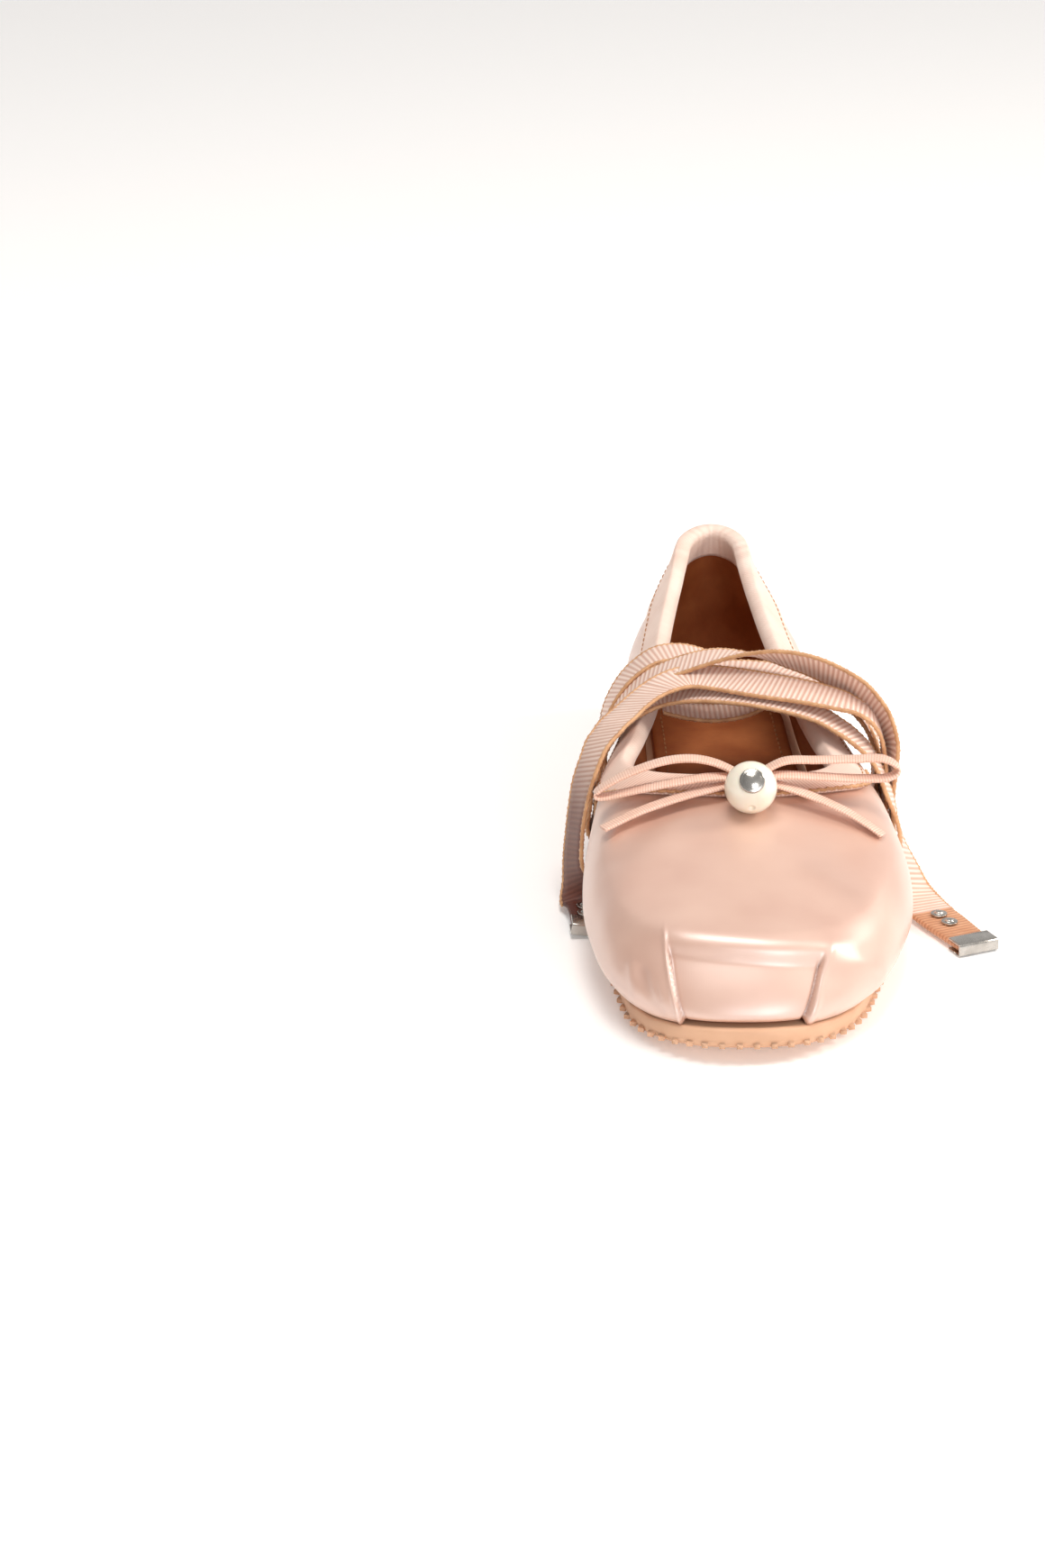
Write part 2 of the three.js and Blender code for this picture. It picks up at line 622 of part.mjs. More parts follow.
function archCutter() {
  const side = new THREE.Shape();
  side.moveTo(ARCH.front * LENGTH, 0);
  side.quadraticCurveTo(((ARCH.front + ARCH.crown) / 2) * LENGTH, ARCH_RISE, ARCH.crown * LENGTH, ARCH_RISE);
  side.lineTo(ARCH.breast * LENGTH, ARCH_RISE);
  side.lineTo((ARCH.breast + 0.005) * LENGTH, -SOLE_EDGE);
  side.lineTo(ARCH.front * LENGTH, -SOLE_EDGE);
  const made = new THREE.ExtrudeGeometry(side, { depth: 2 * BALL_WIDTH, bevelEnabled: false, curveSegments: 8 });
  made.translate(0, 0, -BALL_WIDTH);
  made.rotateY(Math.PI / 2);
  made.rotateX(Math.PI / 2);
  return solidFromGeometry(made);
}

function treadGrooves({ from, to, pitch }) {
  const cuts = [];
  const { width, depth, margin } = TREAD_GROOVE;
  for (let y = from * LENGTH; y <= to * LENGTH; y += pitch) {
    const here = soleWidth(y);
    cuts.push(box(2 * (here.half - margin), width, 2 * depth, here.centre, y, 0));
  }
  return cuts;
}

function makeNibs() {
  const nibs = [];
  let turn = 0;
  for (let i = 0; i < NIB.count; i += 1) {
    for (const side of i === 0 ? [1] : [-1, 1]) {
      const line = ray(side * turn);
      const r = reach(line, soleWidth) + (NIB.proud - NIB.root) / 2 - NIB.proud;
      const at = along(line, r + NIB.proud);
      const z = soleBottom(at.y) + NIB.height / 2 + NIB.proud / 2;
      const angle = Math.atan2(line.out.y, line.out.x);
      nibs.push(box(NIB.proud + NIB.root, NIB.width, NIB.height, at.x, at.y, z, angle));
    }
    const here = along(ray(turn), reach(ray(turn), soleWidth));
    let walked = 0;
    while (walked < NIB.pitch) {
      turn += SMALL;
      walked = here.distanceTo(along(ray(turn), reach(ray(turn), soleWidth)));
    }
  }
  return nibs;
}

function makeOutsole() {
  const middle = (share) => (y) => soleBottom(y) + share * (soleTop(y) - soleBottom(y));
  const rings = [
    soleRing(15, middle(0)),
    soleRing(1.5, middle(0)),
    soleRing(0.4, middle(0.16)),
    soleRing(0, middle(0.45)),
    soleRing(0.1, middle(0.88)),
    soleRing(0.6, middle(1)),
    soleRing(15, middle(1)),
  ];
  let sole = ringBody(rings, false);
  for (const nib of makeNibs()) sole = sole.add(nib);
  for (const cut of [archCutter(), ...treadGrooves(FORE_TREAD), ...treadGrooves(HEEL_TREAD)]) {
    sole = sole.subtract(cut);
  }
  return toGeometry(sole);
}

// Insole
function makeInsole() {
  const inset = FEATHER_INSET + WALL + INSOLE_ROOM;
  const rings = [
    soleRing(15, (y) => soleTop(y) + INSOLE_REST),
    soleRing(inset, (y) => soleTop(y) + INSOLE_REST),
    soleRing(inset, (y) => soleTop(y) + INSOLE_REST + 0.6 * INSOLE_THICK),
    soleRing(inset + 0.5, (y) => soleTop(y) + INSOLE_REST + INSOLE_THICK),
    soleRing(15, (y) => soleTop(y) + INSOLE_REST + INSOLE_THICK),
  ];
  return toGeometry(ringBody(rings, false));
}

// Collar tape
function makeCollar() {
  const outside = 1.5 * GAP;
  const inside = -WALL - outside;
  const bevel = 0.3 * COLLAR_THICK;
  const flange = (distance, out) => TURNS.map((turn) => offsetPoint(turn, belowEdge(turn, distance), out));
  const crown = (out, lift) => TURNS.map((turn) => offsetPoint(turn, 1, out, lift));
  const rings = [
    flange(COLLAR_OUTER, outside),
    flange(COLLAR_OUTER, outside + COLLAR_THICK),
    flange(0.66 * COLLAR_OUTER, outside + COLLAR_THICK),
    flange(0.33 * COLLAR_OUTER, outside + COLLAR_THICK),
    flange(0, outside + COLLAR_THICK),
    crown(outside + COLLAR_THICK - bevel, GAP + COLLAR_THICK - bevel),
    crown(-WALL / 2, GAP + COLLAR_THICK),
    crown(inside - COLLAR_THICK + bevel, GAP + COLLAR_THICK - bevel),
    flange(0, inside - COLLAR_THICK),
    flange(COLLAR_INNER, inside - COLLAR_THICK),
    flange(COLLAR_INNER, inside),
    flange(COLLAR_INNER / 2, inside),
    crown(inside, GAP),
    crown(outside, GAP),
    flange(0.33 * COLLAR_OUTER, outside),
    flange(0.66 * COLLAR_OUTER, outside),
  ];
  return toGeometry(ringBody(rings, true));
}

// A value of a smooth route through rows, at a share of the way from row i to the next
const PLAIN = { yaw: 90, pitch: 0, lean: 0, share: 1, layers: 1 };
function routeValue(rows, i, t, column) {
  const read = (k) => rows[Math.min(Math.max(k, 0), rows.length - 1)][column] ?? PLAIN[column];
  const [a, b, c, d] = [read(i - 1), read(i), read(i + 1), read(i + 2)];
  return b + 0.5 * t * (c - a + t * (2 * a - 5 * b + 4 * c - d + t * (3 * (b - c) + d - a)));
}

// Where a tape is at a place of its route, the way it runs, the way its width lies and its thickness
function tapeFrame(rows, at) {
  const i = Math.min(Math.floor(at), rows.length - 2);
  const t = at - i;
  const place = (s) => new THREE.Vector3(...["x", "y", "z"].map((c) => routeValue(rows, i, s, c)));
  const centre = place(t);
  const run = place(Math.min(t + 0.01, 1)).sub(place(Math.max(t - 0.01, 0))).normalize();
  const angle = (column) => THREE.MathUtils.degToRad(routeValue(rows, i, t, column));
  const wide = new THREE.Vector3().setFromSphericalCoords(1, Math.PI / 2 - angle("pitch"), angle("yaw"));
  wide.set(wide.z, wide.x, wide.y);
  wide.addScaledVector(run, -run.dot(wide)).normalize().applyAxisAngle(run, angle("lean"));
  const share = routeValue(rows, i, t, "share");
  return { centre, run, wide, up: run.clone().cross(wide), share, layers: routeValue(rows, i, t, "layers") };
}

// Flat tape swept along a route from row first to row last
function tape(rows, width, thick, first, last) {
  const cuts = Math.round((last - first) * TIE_CUTS);
  const positions = [];
  const faces = [];
  for (let k = 0; k <= cuts; k += 1) {
    const frame = tapeFrame(rows, first + ((last - first) * k) / cuts);
    for (const [across, rise] of [[-1, -1], [1, -1], [1, 1], [-1, 1]]) {
      const p = frame.centre.clone().addScaledVector(frame.wide, (across * width * frame.share) / 2);
      p.addScaledVector(frame.up, (rise * thick * frame.layers) / 2);
      positions.push(p.x, p.y, p.z);
    }
    for (let e = 0; e < 4 && k < cuts; e += 1) {
      const a = 4 * k + e;
      const b = 4 * k + ((e + 1) % 4);
      faces.push(a, b, b + 4, a, b + 4, a + 4);
    }
  }
  const end = 4 * cuts;
  faces.push(0, 2, 1, 0, 3, 2, end, end + 1, end + 2, end, end + 2, end + 3);
  return solidFrom(new Float32Array(positions), faces);
}

// Bead, its plain cap and the bow behind it
function beadCentre() {
  return offsetPoint(BEAD_TURN, belowEdge(BEAD_TURN, BEAD_SEAT), BEAD / 2 + GAP);
}

function makeBead() {
  const made = new THREE.SphereGeometry(BEAD / 2, 18, 12);
  const at = beadCentre();
  made.translate(at.x, at.y, at.z);
  return toGeometry(solidFromGeometry(made));
}

function makeCap() {
  const inner = BEAD / 2 + GAP;
  const half = Math.asin(CAP / BEAD);
  const profile = [];
  for (let i = 0; i <= 4; i += 1) {
    const angle = (half * i) / 4;
    profile.push(new THREE.Vector2(inner * Math.sin(angle), inner * Math.cos(angle)));
  }
  for (let i = 3; i >= 0; i -= 1) {
    const angle = (half * i) / 4;
    const outer = inner + CAP_THICK * (1.6 - 0.2 * i);
    profile.push(new THREE.Vector2(outer * Math.sin(angle), outer * Math.cos(angle)));
  }
  const made = new THREE.LatheGeometry(profile, 12);
  made.rotateX(Math.PI - THREE.MathUtils.degToRad(CAP_TILT));
  const at = beadCentre();
  made.translate(at.x, at.y, at.z);
  return toGeometry(solidFromGeometry(made));
}

function makeBow() {
  const knot = new THREE.SphereGeometry(0.5, 12, 8);
  knot.scale(KNOT.width, KNOT.depth, KNOT.height);
  const front = TOPLINE[0].along * LENGTH;
  const onThroat = ({ x, y, z }) => ({ x, y: front + y, z: THROAT_TOP + z });
  const middle = onThroat(KNOT);
  knot.translate(middle.x, middle.y, middle.z);
  let bow = solidFromGeometry(knot);
  for (const strip of BOW_STRIPS) {
    const rows = strip.map(onThroat);
    bow = bow.add(tape(rows, BOW_WIDTH, BOW_THICK, 0, rows.length - 1));
  }
  return toGeometry(bow);
}

// Places a piece made at the origin on a frame: x along the run, y across, z off the face that shows
function onFrame(made, frame, face = 1) {
  if (face < 0) made.rotateX(Math.PI);
  const at = new THREE.Matrix4().makeBasis(frame.run, frame.wide, frame.up).setPosition(frame.centre);
  made.applyMatrix4(at);
  return toGeometry(solidFromGeometry(made));
}

// Metal tip: a folded plate that the end of a tie goes into
function makeTip(rows) {
  const room = TIE_THICK + TIP.room;
  const outer = room + TIP.thick;
  const fold = new THREE.Shape();
  fold.moveTo(TIP.cover, room);
  fold.lineTo(TIP.cover, outer);
  fold.lineTo(TIP.cover - TIP.length + 0.4, outer);
  fold.lineTo(TIP.cover - TIP.length, outer - 0.4);
  fold.lineTo(TIP.cover - TIP.length, 0.4 - outer);
  fold.lineTo(TIP.cover - TIP.length + 0.4, -outer);
  fold.lineTo(TIP.cover, -outer);
  fold.lineTo(TIP.cover, -room);
  fold.lineTo(-TIP.room, -room);
  fold.lineTo(-TIP.room, room);
  const width = TIE_WIDTH * rows[1].share + 2 * TIP.room;
  const made = new THREE.ExtrudeGeometry(fold, { depth: width, bevelEnabled: false });
  made.translate(0, 0, -width / 2);
  made.rotateX(Math.PI / 2);
  return onFrame(made, tapeFrame(rows, 0));
}

// Rivet: a rim with a dome in it, standing on the folded end of a tie
function makeRivet(rows, at, face) {
  const { radius, rim, dome, crown } = RIVET;
  const profile = [[0, 0], [radius, 0], [radius, rim], [dome, rim], [dome * 0.7, crown * 0.9], [0, crown]];
  const made = new THREE.LatheGeometry(profile.map(([x, y]) => new THREE.Vector2(x, y)), 12);
  made.rotateX(Math.PI / 2);
  made.translate(0, 0, TIE_THICK + GAP / 2);
  return onFrame(made, tapeFrame(rows, at), face);
}

const colours = {
  satin: new THREE.MeshStandardMaterial({ color: 0xe6c8ba, roughness: 0.35 }),
  tape: new THREE.MeshStandardMaterial({ color: 0xdfbfb0, roughness: 0.8 }),
  rubber: new THREE.MeshStandardMaterial({ color: 0xd9ac86, roughness: 0.6 }),
  leather: new THREE.MeshStandardMaterial({ color: 0xc99468, roughness: 0.6 }),
  bead: new THREE.MeshStandardMaterial({ color: 0xf1ead6, roughness: 0.2 }),
  metal: new THREE.MeshStandardMaterial({ color: 0xc9c9c9, roughness: 0.25, metalness: 1 }),
};

const shoe = new THREE.Group();
function add(name, made, material) {
  const mesh = new THREE.Mesh(made, material);
  mesh.name = name;
  shoe.add(mesh);
}

add("outsole", makeOutsole(), colours.rubber);
add("upper", makeUpper(), colours.satin);
add("insole", makeInsole(), colours.leather);
add("collar_tape", makeCollar(), colours.tape);
add("bead", makeBead(), colours.bead);
add("bead_cap", makeCap(), colours.metal);
add("bow", makeBow(), colours.satin);

// Each tie is one route: its end hangs to the floor, and the rest crosses the instep and hangs in loops
const ties = {
  inner: { end: INNER_TIE_END, crossing: INNER_TIE_CROSSING, rivets: INNER_RIVETS, face: 1 },
  outer: { end: OUTER_TIE_END, crossing: OUTER_TIE_CROSSING, rivets: OUTER_RIVETS, face: -1 },
};
const crossings = [];
for (const [name, { end, crossing, rivets, face }] of Object.entries(ties)) {
  const rows = end.concat(crossing);
  const join = end.length - 0.5;
  const gap = TIE_JOIN / 2 / tapeFrame(rows, join - 0.5).centre.distanceTo(tapeFrame(rows, join + 0.5).centre);
  crossings.push(tape(rows, TIE_WIDTH, TIE_THICK, join + gap, rows.length - 1));
  add(`tie_end_${name}`, toGeometry(tape(rows, TIE_WIDTH, TIE_THICK, 0, join - gap)), colours.tape);
  add(`tie_tip_${name}`, makeTip(rows), colours.metal);
  rivets.forEach((at, i) => add(`tie_rivet_${name}_${i + 1}`, makeRivet(rows, at, face), colours.metal));
}
add("tie_crossing", toGeometry(crossings[0].add(crossings[1])), colours.tape);

// The middle of the shoe's box, without the hanging ends, comes to the origin
const HANGING = ["tie_end", "tie_tip", "tie_rivet"];
const standing = new THREE.Box3();
for (const mesh of shoe.children) {
  mesh.geometry.computeBoundingBox();
  if (!HANGING.some((start) => mesh.name.startsWith(start))) standing.union(mesh.geometry.boundingBox);
}
const middle = standing.getCenter(new THREE.Vector3());
shoe.position.set(-middle.x, -middle.y, -standing.min.z);

export default shoe;
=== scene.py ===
"""A satin ballet flat for the left foot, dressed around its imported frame.

Tables are in millimetres. y is counted from the tip of the toe, as in the frame's own source.
place() turns such points into the frame's metres.
"""

from __future__ import annotations

import logging
import math
from dataclasses import dataclass
from enum import Enum
from typing import Callable, Iterable, NamedTuple, Sequence

import bpy
import numpy as np
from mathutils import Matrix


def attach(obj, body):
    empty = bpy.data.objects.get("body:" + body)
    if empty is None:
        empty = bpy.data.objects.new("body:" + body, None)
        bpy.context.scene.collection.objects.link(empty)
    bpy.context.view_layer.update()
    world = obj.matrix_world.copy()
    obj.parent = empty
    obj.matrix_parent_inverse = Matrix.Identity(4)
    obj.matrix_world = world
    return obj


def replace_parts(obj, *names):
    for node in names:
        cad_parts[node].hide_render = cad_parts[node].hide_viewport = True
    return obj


Array = np.ndarray
Material = bpy.types.Material
Node = bpy.types.Node
NodeSocket = bpy.types.NodeSocket
NodeTree = bpy.types.NodeTree
Object = bpy.types.Object

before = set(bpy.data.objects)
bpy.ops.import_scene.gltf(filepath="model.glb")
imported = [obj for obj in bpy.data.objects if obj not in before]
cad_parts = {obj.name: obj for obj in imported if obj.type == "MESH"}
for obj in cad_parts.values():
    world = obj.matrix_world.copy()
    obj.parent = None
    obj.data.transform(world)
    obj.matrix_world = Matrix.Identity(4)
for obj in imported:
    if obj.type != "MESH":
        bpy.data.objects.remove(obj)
LOG = logging.getLogger("ballet_flat")
MM = 0.001
SHIFT = np.array([0.202, -122.502, 0.0])
BODY = "root"


class Slot(Enum):
    """Material slots of the record."""

    SATIN = "satin"
    TAPE = "ribbed_tape"
    SOLE = "sole"
    LINING = "lining_leather"
    BEAD = "bead"
    METAL = "metal"


class Relief(Enum):
    """Fine reliefs that a finish can have."""

    WEAVE = "weave"
    GRAIN = "grain"


class Way(NamedTuple):
    """A point of a ribbon's route. yaw and pitch turn its width, lean turns it about its run."""

    x: float
    y: float
    z: float
    yaw: float = 90
    pitch: float = 0
    lean: float = 0
    share: float = 1
    layers: float = 1


# columns: along, centre, sole, body
OUTLINE = np.array([
    [0, -0.05, 0.335, 0.4],
    [0.07, -0.038, 0.354, 0.421],
    [0.145, -0.023, 0.376, 0.454],
    [0.22, -0.01, 0.416, 0.489],
    [0.294, -0.003, 0.438, 0.495],
    [0.376, -0.003, 0.425, 0.48],
    [0.46, -0.003, 0.38, 0.453],
    [0.56, -0.003, 0.33, 0.406],
    [0.66, -0.01, 0.3, 0.359],
    [0.76, -0.021, 0.29, 0.322],
    [0.88, -0.032, 0.288, 0.302],
    [1, -0.038, 0.284, 0.294],
])
# columns: along, centre, half, rise
TOPLINE = np.array([
    [0.372, -0.04, 0.324, 0],
    [0.43, -0.046, 0.328, -0.03],
    [0.5, -0.043, 0.293, -0.05],
    [0.58, -0.038, 0.253, -0.01],
    [0.67, -0.04, 0.218, 0.1],
    [0.75, -0.047, 0.188, 0.26],
    [0.81, -0.048, 0.164, 0.41],
    [0.88, -0.046, 0.133, 0.65],
    [0.94, -0.042, 0.109, 0.91],
    [0.984, -0.04, 0.098, 1],
])
# columns: along, top, spring
SOLE_LEVELS = np.array([
    [0, 0.05, 1],
    [0.05, 0.02, 0.52],
    [0.1, 0, 0.2],
    [0.16, 0, 0],
    [0.2, 0, 0],
    [0.4, 0.03, 0],
    [0.5, 0.22, 0],
    [0.6, 0.58, 0],
    [0.7, 0.88, 0],
    [0.8, 0.98, 0],
    [1, 1, 0],
])
# columns: turn, lowOut, lowUp, midIn, midUp, highIn, highUp
SECTIONS = np.array([
    [0, 0.012, 0.1, 0.145, 0.62, 0.225, 0.655],
    [0.04, 0.012, 0.1, 0.142, 0.615, 0.225, 0.66],
    [0.08, 0.014, 0.12, 0.1, 0.57, 0.24, 0.7],
    [0.13, 0.016, 0.13, 0.04, 0.52, 0.26, 0.78],
    [0.223, 0.018, 0.14, -0.01, 0.52, 0.31, 0.87],
    [0.317, 0.017, 0.13, -0.03, 0.5, 0.35, 0.88],
    [0.45, 0.014, 0.11, -0.03, 0.46, 0.37, 0.87],
    [0.6, 0.012, 0.1, -0.03, 0.43, 0.42, 0.82],
    [0.8, 0.01, 0.09, -0.06, 0.41, 0.42, 0.77],
    [1, 0.008, 0.08, -0.2, 0.42, 0.36, 0.77],
])
INNER_TIE_END = (
    Way(-41.4, 76, 2.3, yaw=184, pitch=8, share=0.58, layers=2),
    Way(-41.7, 80.5, 2.4, yaw=181, pitch=9, share=0.62, layers=2),
    Way(-41.9, 87.6, 2.5, yaw=178, pitch=9, share=0.7, layers=2),
    Way(-42.4, 92, 3, yaw=162, pitch=8, share=0.82, layers=1.8),
    Way(-43.6, 95.6, 6, yaw=134, pitch=3, share=0.94, layers=1.2),
    Way(-44.7, 98.2, 11, yaw=112),
    Way(-44.4, 100.8, 17.5, yaw=107),
    Way(-43.5, 103.6, 24.5, yaw=106),
    Way(-41.8, 107.4, 31.6, yaw=106),
    Way(-38.7, 112.5, 38.2, yaw=102),
    Way(-35, 118, 41.6, yaw=96),
    Way(-30.5, 124.8, 43.8),
    Way(-24.5, 132, 46.2),
)
INNER_TIE_CROSSING = (
    Way(-18.4, 137, 47.8, lean=4),
    Way(-12.4, 139, 48.6, lean=6),
    Way(-5, 137, 48.9, lean=8),
    Way(5.7, 132, 48.9, lean=10),
    Way(17.7, 128.2, 48.2, lean=8),
    Way(26.4, 126, 46.8, lean=5),
    Way(31.2, 125.3, 45.2),
    Way(35.2, 124.6, 42.4),
    Way(37.6, 124.8, 37.6),
    Way(38.7, 125.2, 30.5),
    Way(39, 124.4, 22),
    Way(39.1, 123.6, 14),
    Way(39.4, 123, 9.6),
    Way(40.5, 122.8, 7.4),
    Way(41.6, 122.6, 9.6),
    Way(41, 122.5, 15),
    Way(40.7, 122.5, 23),
    Way(40.7, 122.8, 30.5, lean=6),
    Way(40.3, 124.2, 36.2, lean=16),
    Way(38, 127, 41.3, lean=30),
    Way(34.2, 129.7, 45.4, lean=40),
    Way(29.2, 132.3, 48.9, lean=44),
    Way(20.7, 136, 52.2, lean=44),
    Way(12, 139.5, 53.5, lean=38),
    Way(2.5, 143, 53.4, lean=20),
    Way(-6, 145, 52.2, lean=5),
    Way(-13.5, 146.2, 49.8),
    Way(-21, 147.8, 46.2),
    Way(-28, 149, 41.4),
    Way(-33, 149.4, 35.8),
    Way(-35.2, 149, 28),
    Way(-35.6, 148.7, 19),
    Way(-35.7, 148.5, 11.5),
    Way(-36.8, 148.4, 8.8),
    Way(-37.9, 148.8, 11.5),
    Way(-37.1, 150, 19),
    Way(-36.7, 152, 26),
    Way(-34.9, 154.5, 33),
    Way(-31.5, 157.5, 38.8),
    Way(-27, 160, 43.2),
    Way(-21.4, 161.6, 46.3),
    Way(-14.8, 162.6, 46.8),
    Way(-8.6, 163.2, 45.2),
    Way(-2.5, 164, 42),
    Way(4, 165, 37.8),
    Way(9.5, 165.5, 33.8),
    Way(13.7, 165.5, 31.2),
)
OUTER_TIE_END = (
    Way(59, 66, 1.9, yaw=22, share=0.82, layers=2),
    Way(55.3, 74, 1.9, yaw=24, share=0.92, layers=2),
    Way(51.4, 82.5, 1.9, yaw=24, layers=2),
    Way(47.8, 90.5, 2.1, yaw=28, layers=1.5),
    Way(45.2, 97, 4, yaw=42),
    Way(43.8, 101, 9.4, yaw=68),
    Way(41.7, 105.5, 17.5, yaw=91),
    Way(38.9, 110, 26.5, yaw=86),
    Way(36.6, 113, 31.8),
    Way(33.8, 115.6, 35.9),
)
OUTER_TIE_CROSSING = (
    Way(30.2, 118, 39),
    Way(26.2, 120.2, 41.4),
    Way(20, 123.3, 44),
    Way(11, 127, 45.6),
    Way(0, 131.6, 46),
    Way(-11, 136.4, 44.9),
    Way(-21, 138, 42.8),
    Way(-29.5, 135.2, 39),
    Way(-35.2, 132, 32.8),
    Way(-37.7, 130.2, 25),
    Way(-38.3, 129.6, 16.5),
    Way(-38.4, 129.4, 11),
    Way(-39.5, 129.3, 8.2),
    Way(-40.6, 129.6, 11),
    Way(-39.8, 130.4, 17.5),
    Way(-39.2, 132.6, 25.5),
    Way(-36.6, 137.5, 32),
    Way(-31.8, 143, 36.6),
    Way(-26.6, 146.8, 41.2),
    Way(-20.8, 148.6, 45.2),
    Way(-14, 149.8, 46.2),
    Way(-5, 150.2, 46.6),
    Way(4, 149, 46.9),
    Way(12, 146.3, 46.9),
    Way(19, 143.2, 46.2),
    Way(25, 140.2, 44.4),
    Way(30.5, 137.8, 41),
    Way(34.8, 136.3, 35.5),
    Way(36.9, 135.6, 28),
    Way(37.3, 135.4, 18.5),
    Way(37.5, 135.4, 11),
    Way(38.6, 135.4, 8.4),
    Way(39.7, 135.6, 11),
    Way(38.8, 136, 18),
    Way(38.4, 137.6, 26.5),
    Way(36, 141, 33.8),
    Way(30.8, 145.6, 39.6),
    Way(24.8, 149, 42.6),
    Way(18.4, 151, 43.2),
    Way(12.8, 152, 41.2),
    Way(7.8, 152.3, 37),
    Way(2.5, 152.3, 34.4),
    Way(-5, 152, 33.2),
    Way(-12.5, 151.8, 33.8),
    Way(-20, 151.5, 35.8),
)
BOW_STRIPS = (
    (
        Way(-1.5, 84.64, 42),
        Way(-8, 86.34, 44.6),
        Way(-14.5, 87.04, 45.6),
        Way(-22, 86.64, 44.9),
        Way(-31, 85.54, 42),
        Way(-37, 84.54, 38.9),
        Way(-39.2, 84.04, 36.9),
        Way(-36.8, 83.54, 36.4),
        Way(-28, 83.04, 38.6),
        Way(-18, 82.64, 40.9),
        Way(-9.5, 83.04, 42.1),
        Way(-1.5, 84.24, 41.3),
    ),
    (
        Way(2.7, 84.64, 42.2),
        Way(9.5, 86.04, 45.3),
        Way(18, 86.34, 45.5),
        Way(28, 86.04, 45.9),
        Way(35, 85.34, 46.2),
        Way(38.8, 84.24, 44),
        Way(36.2, 83.34, 41.9),
        Way(28, 83.04, 41.7),
        Way(17, 83.04, 42.3),
        Way(9.5, 83.24, 42.6),
        Way(2.7, 84.24, 41.6),
    ),
    (
        Way(-1.5, 83.84, 40.7),
        Way(-9, 81.04, 39.8),
        Way(-18, 78.64, 38.1),
        Way(-28, 75.34, 35.7),
        Way(-37.5, 71.54, 32.4),
    ),
    (
        Way(2.7, 83.84, 41),
        Way(10, 80.64, 40.2),
        Way(17, 77.54, 38.7),
        Way(24, 74.24, 36.6),
        Way(30, 71.44, 33.9),
        Way(34, 69.24, 31.6),
    ),
)

# Soft creases of the satin: the line each follows, its spread and how far it stands out; those that
# sink in also get painted shade along them
CREASES = (
    (((-29, 13.6, 19), (-27, 10.5, 15), (-24.6, 7.5, 11)), 1.7, -0.55),
    (((-31.5, 17, 19), (-30, 13.5, 13)), 1.6, 0.4),
    (((-26.2, 10.4, 18.5), (-24.4, 7.6, 14)), 0.55, -0.22),
    (((-28.2, 12, 13.5), (-26.4, 9.2, 9.8)), 0.5, -0.2),
    (((-34, 60, 31), (-27.5, 71, 33.5), (-20.6, 80.7, 35.8)), 5.5, -0.7),
    (((14.4, 49.8, 31.2), (19, 46, 30), (23.9, 41.5, 28.7)), 6.0, -0.55),
    (((18.5, 14, 21.5), (24, 18, 19), (29, 24.5, 13)), 3.6, 1.0),
    (((20, 12.5, 12), (18, 9, 9.5)), 1.2, -0.25),
)


# Helpers for meshes and nodes


def place(points: Array) -> Array:
    """Moves points from the tables' millimetres into the frame's metres."""
    return (np.asarray(points, float) + SHIFT) * MM


def unit(vectors: Array) -> Array:
    """Vectors of length one, along the last axis."""
    return vectors / np.maximum(np.linalg.norm(vectors, axis=-1, keepdims=True), 1e-9)


def smooth_step(value: Array, low: float, high: float) -> Array:
    """Smooth rise from 0 at low to 1 at high."""
    t = np.clip((value - low) / (high - low), 0, 1)
    return t * t * (3 - 2 * t)


def add_object(name: str, data: bpy.types.ID) -> Object:
    """Adds an object to the scene, at the origin."""
    made = bpy.data.objects.new(name, data)
    bpy.context.scene.collection.objects.link(made)
    return made


def walked(points: Array) -> Array:
    """Length walked along a line at each of its points."""
    return np.concatenate([[0], np.cumsum(np.linalg.norm(np.diff(points, axis=0), axis=1))])


def piece(
    name: str,
    points: Array,
    faces: Iterable[Sequence[int]],
    finish: Material | None,
    values: dict[str, Array] | None = None,
) -> Object:
    """Makes a smooth shaded piece that rides on the shoe.

    Args:
        name: Name of the piece.
        points: Points in table millimetres.
        faces: Corner indices of each face.
        finish: Material, or None where it comes later.
        values: Named numbers for each point, for the material to read.

    Returns:
        The new object, at the origin.
    """
    mesh = bpy.data.meshes.new(name)
    mesh.from_pydata(place(points).tolist(), [], [list(f) for f in faces])
    mesh.polygons.foreach_set("use_smooth", [True] * len(mesh.polygons))
    for key, numbers in (values or {}).items():
        layer = mesh.attributes.new(key, "FLOAT", "POINT")
        layer.data.foreach_set("value", np.asarray(numbers, np.float32).ravel())
    if finish:
        mesh.materials.append(finish)
    made = add_object(name, mesh)
    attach(made, BODY)
    return made


def ring_faces(rings: int, count: int, closed: bool) -> list[tuple[int, ...]]:
    """Faces between rings of points that each close on themselves.

    Args:
        rings: Number of rings.
        count: Points in a ring.
        closed: True where the last ring joins the first, else both ends are capped.

    Returns:
        Corner indices of each face.
    """
    faces = []
    for r in range(rings if closed else rings - 1):
        a, b = r * count, ((r + 1) % rings) * count
        faces += [(a + i, a + (i + 1) % count, b + (i + 1) % count, b + i) for i in range(count)]
    if not closed:
        top = (rings - 1) * count
        faces.append(tuple(range(count - 1, -1, -1)))
        faces.append(tuple(range(top, top + count)))
    return faces


def outward(obj: Object) -> Object:
    """Turns a closed piece's faces to point out of it, by its volume."""
    mesh = obj.data
    mesh.calc_loop_triangles()
    points = np.array([v.co for v in mesh.vertices])
    tri = np.array([t.vertices for t in mesh.loop_triangles])
    a, b, c = points[tri[:, 0]], points[tri[:, 1]], points[tri[:, 2]]
    if (a * np.cross(b, c)).sum() < 0:
        mesh.flip_normals()
    return obj


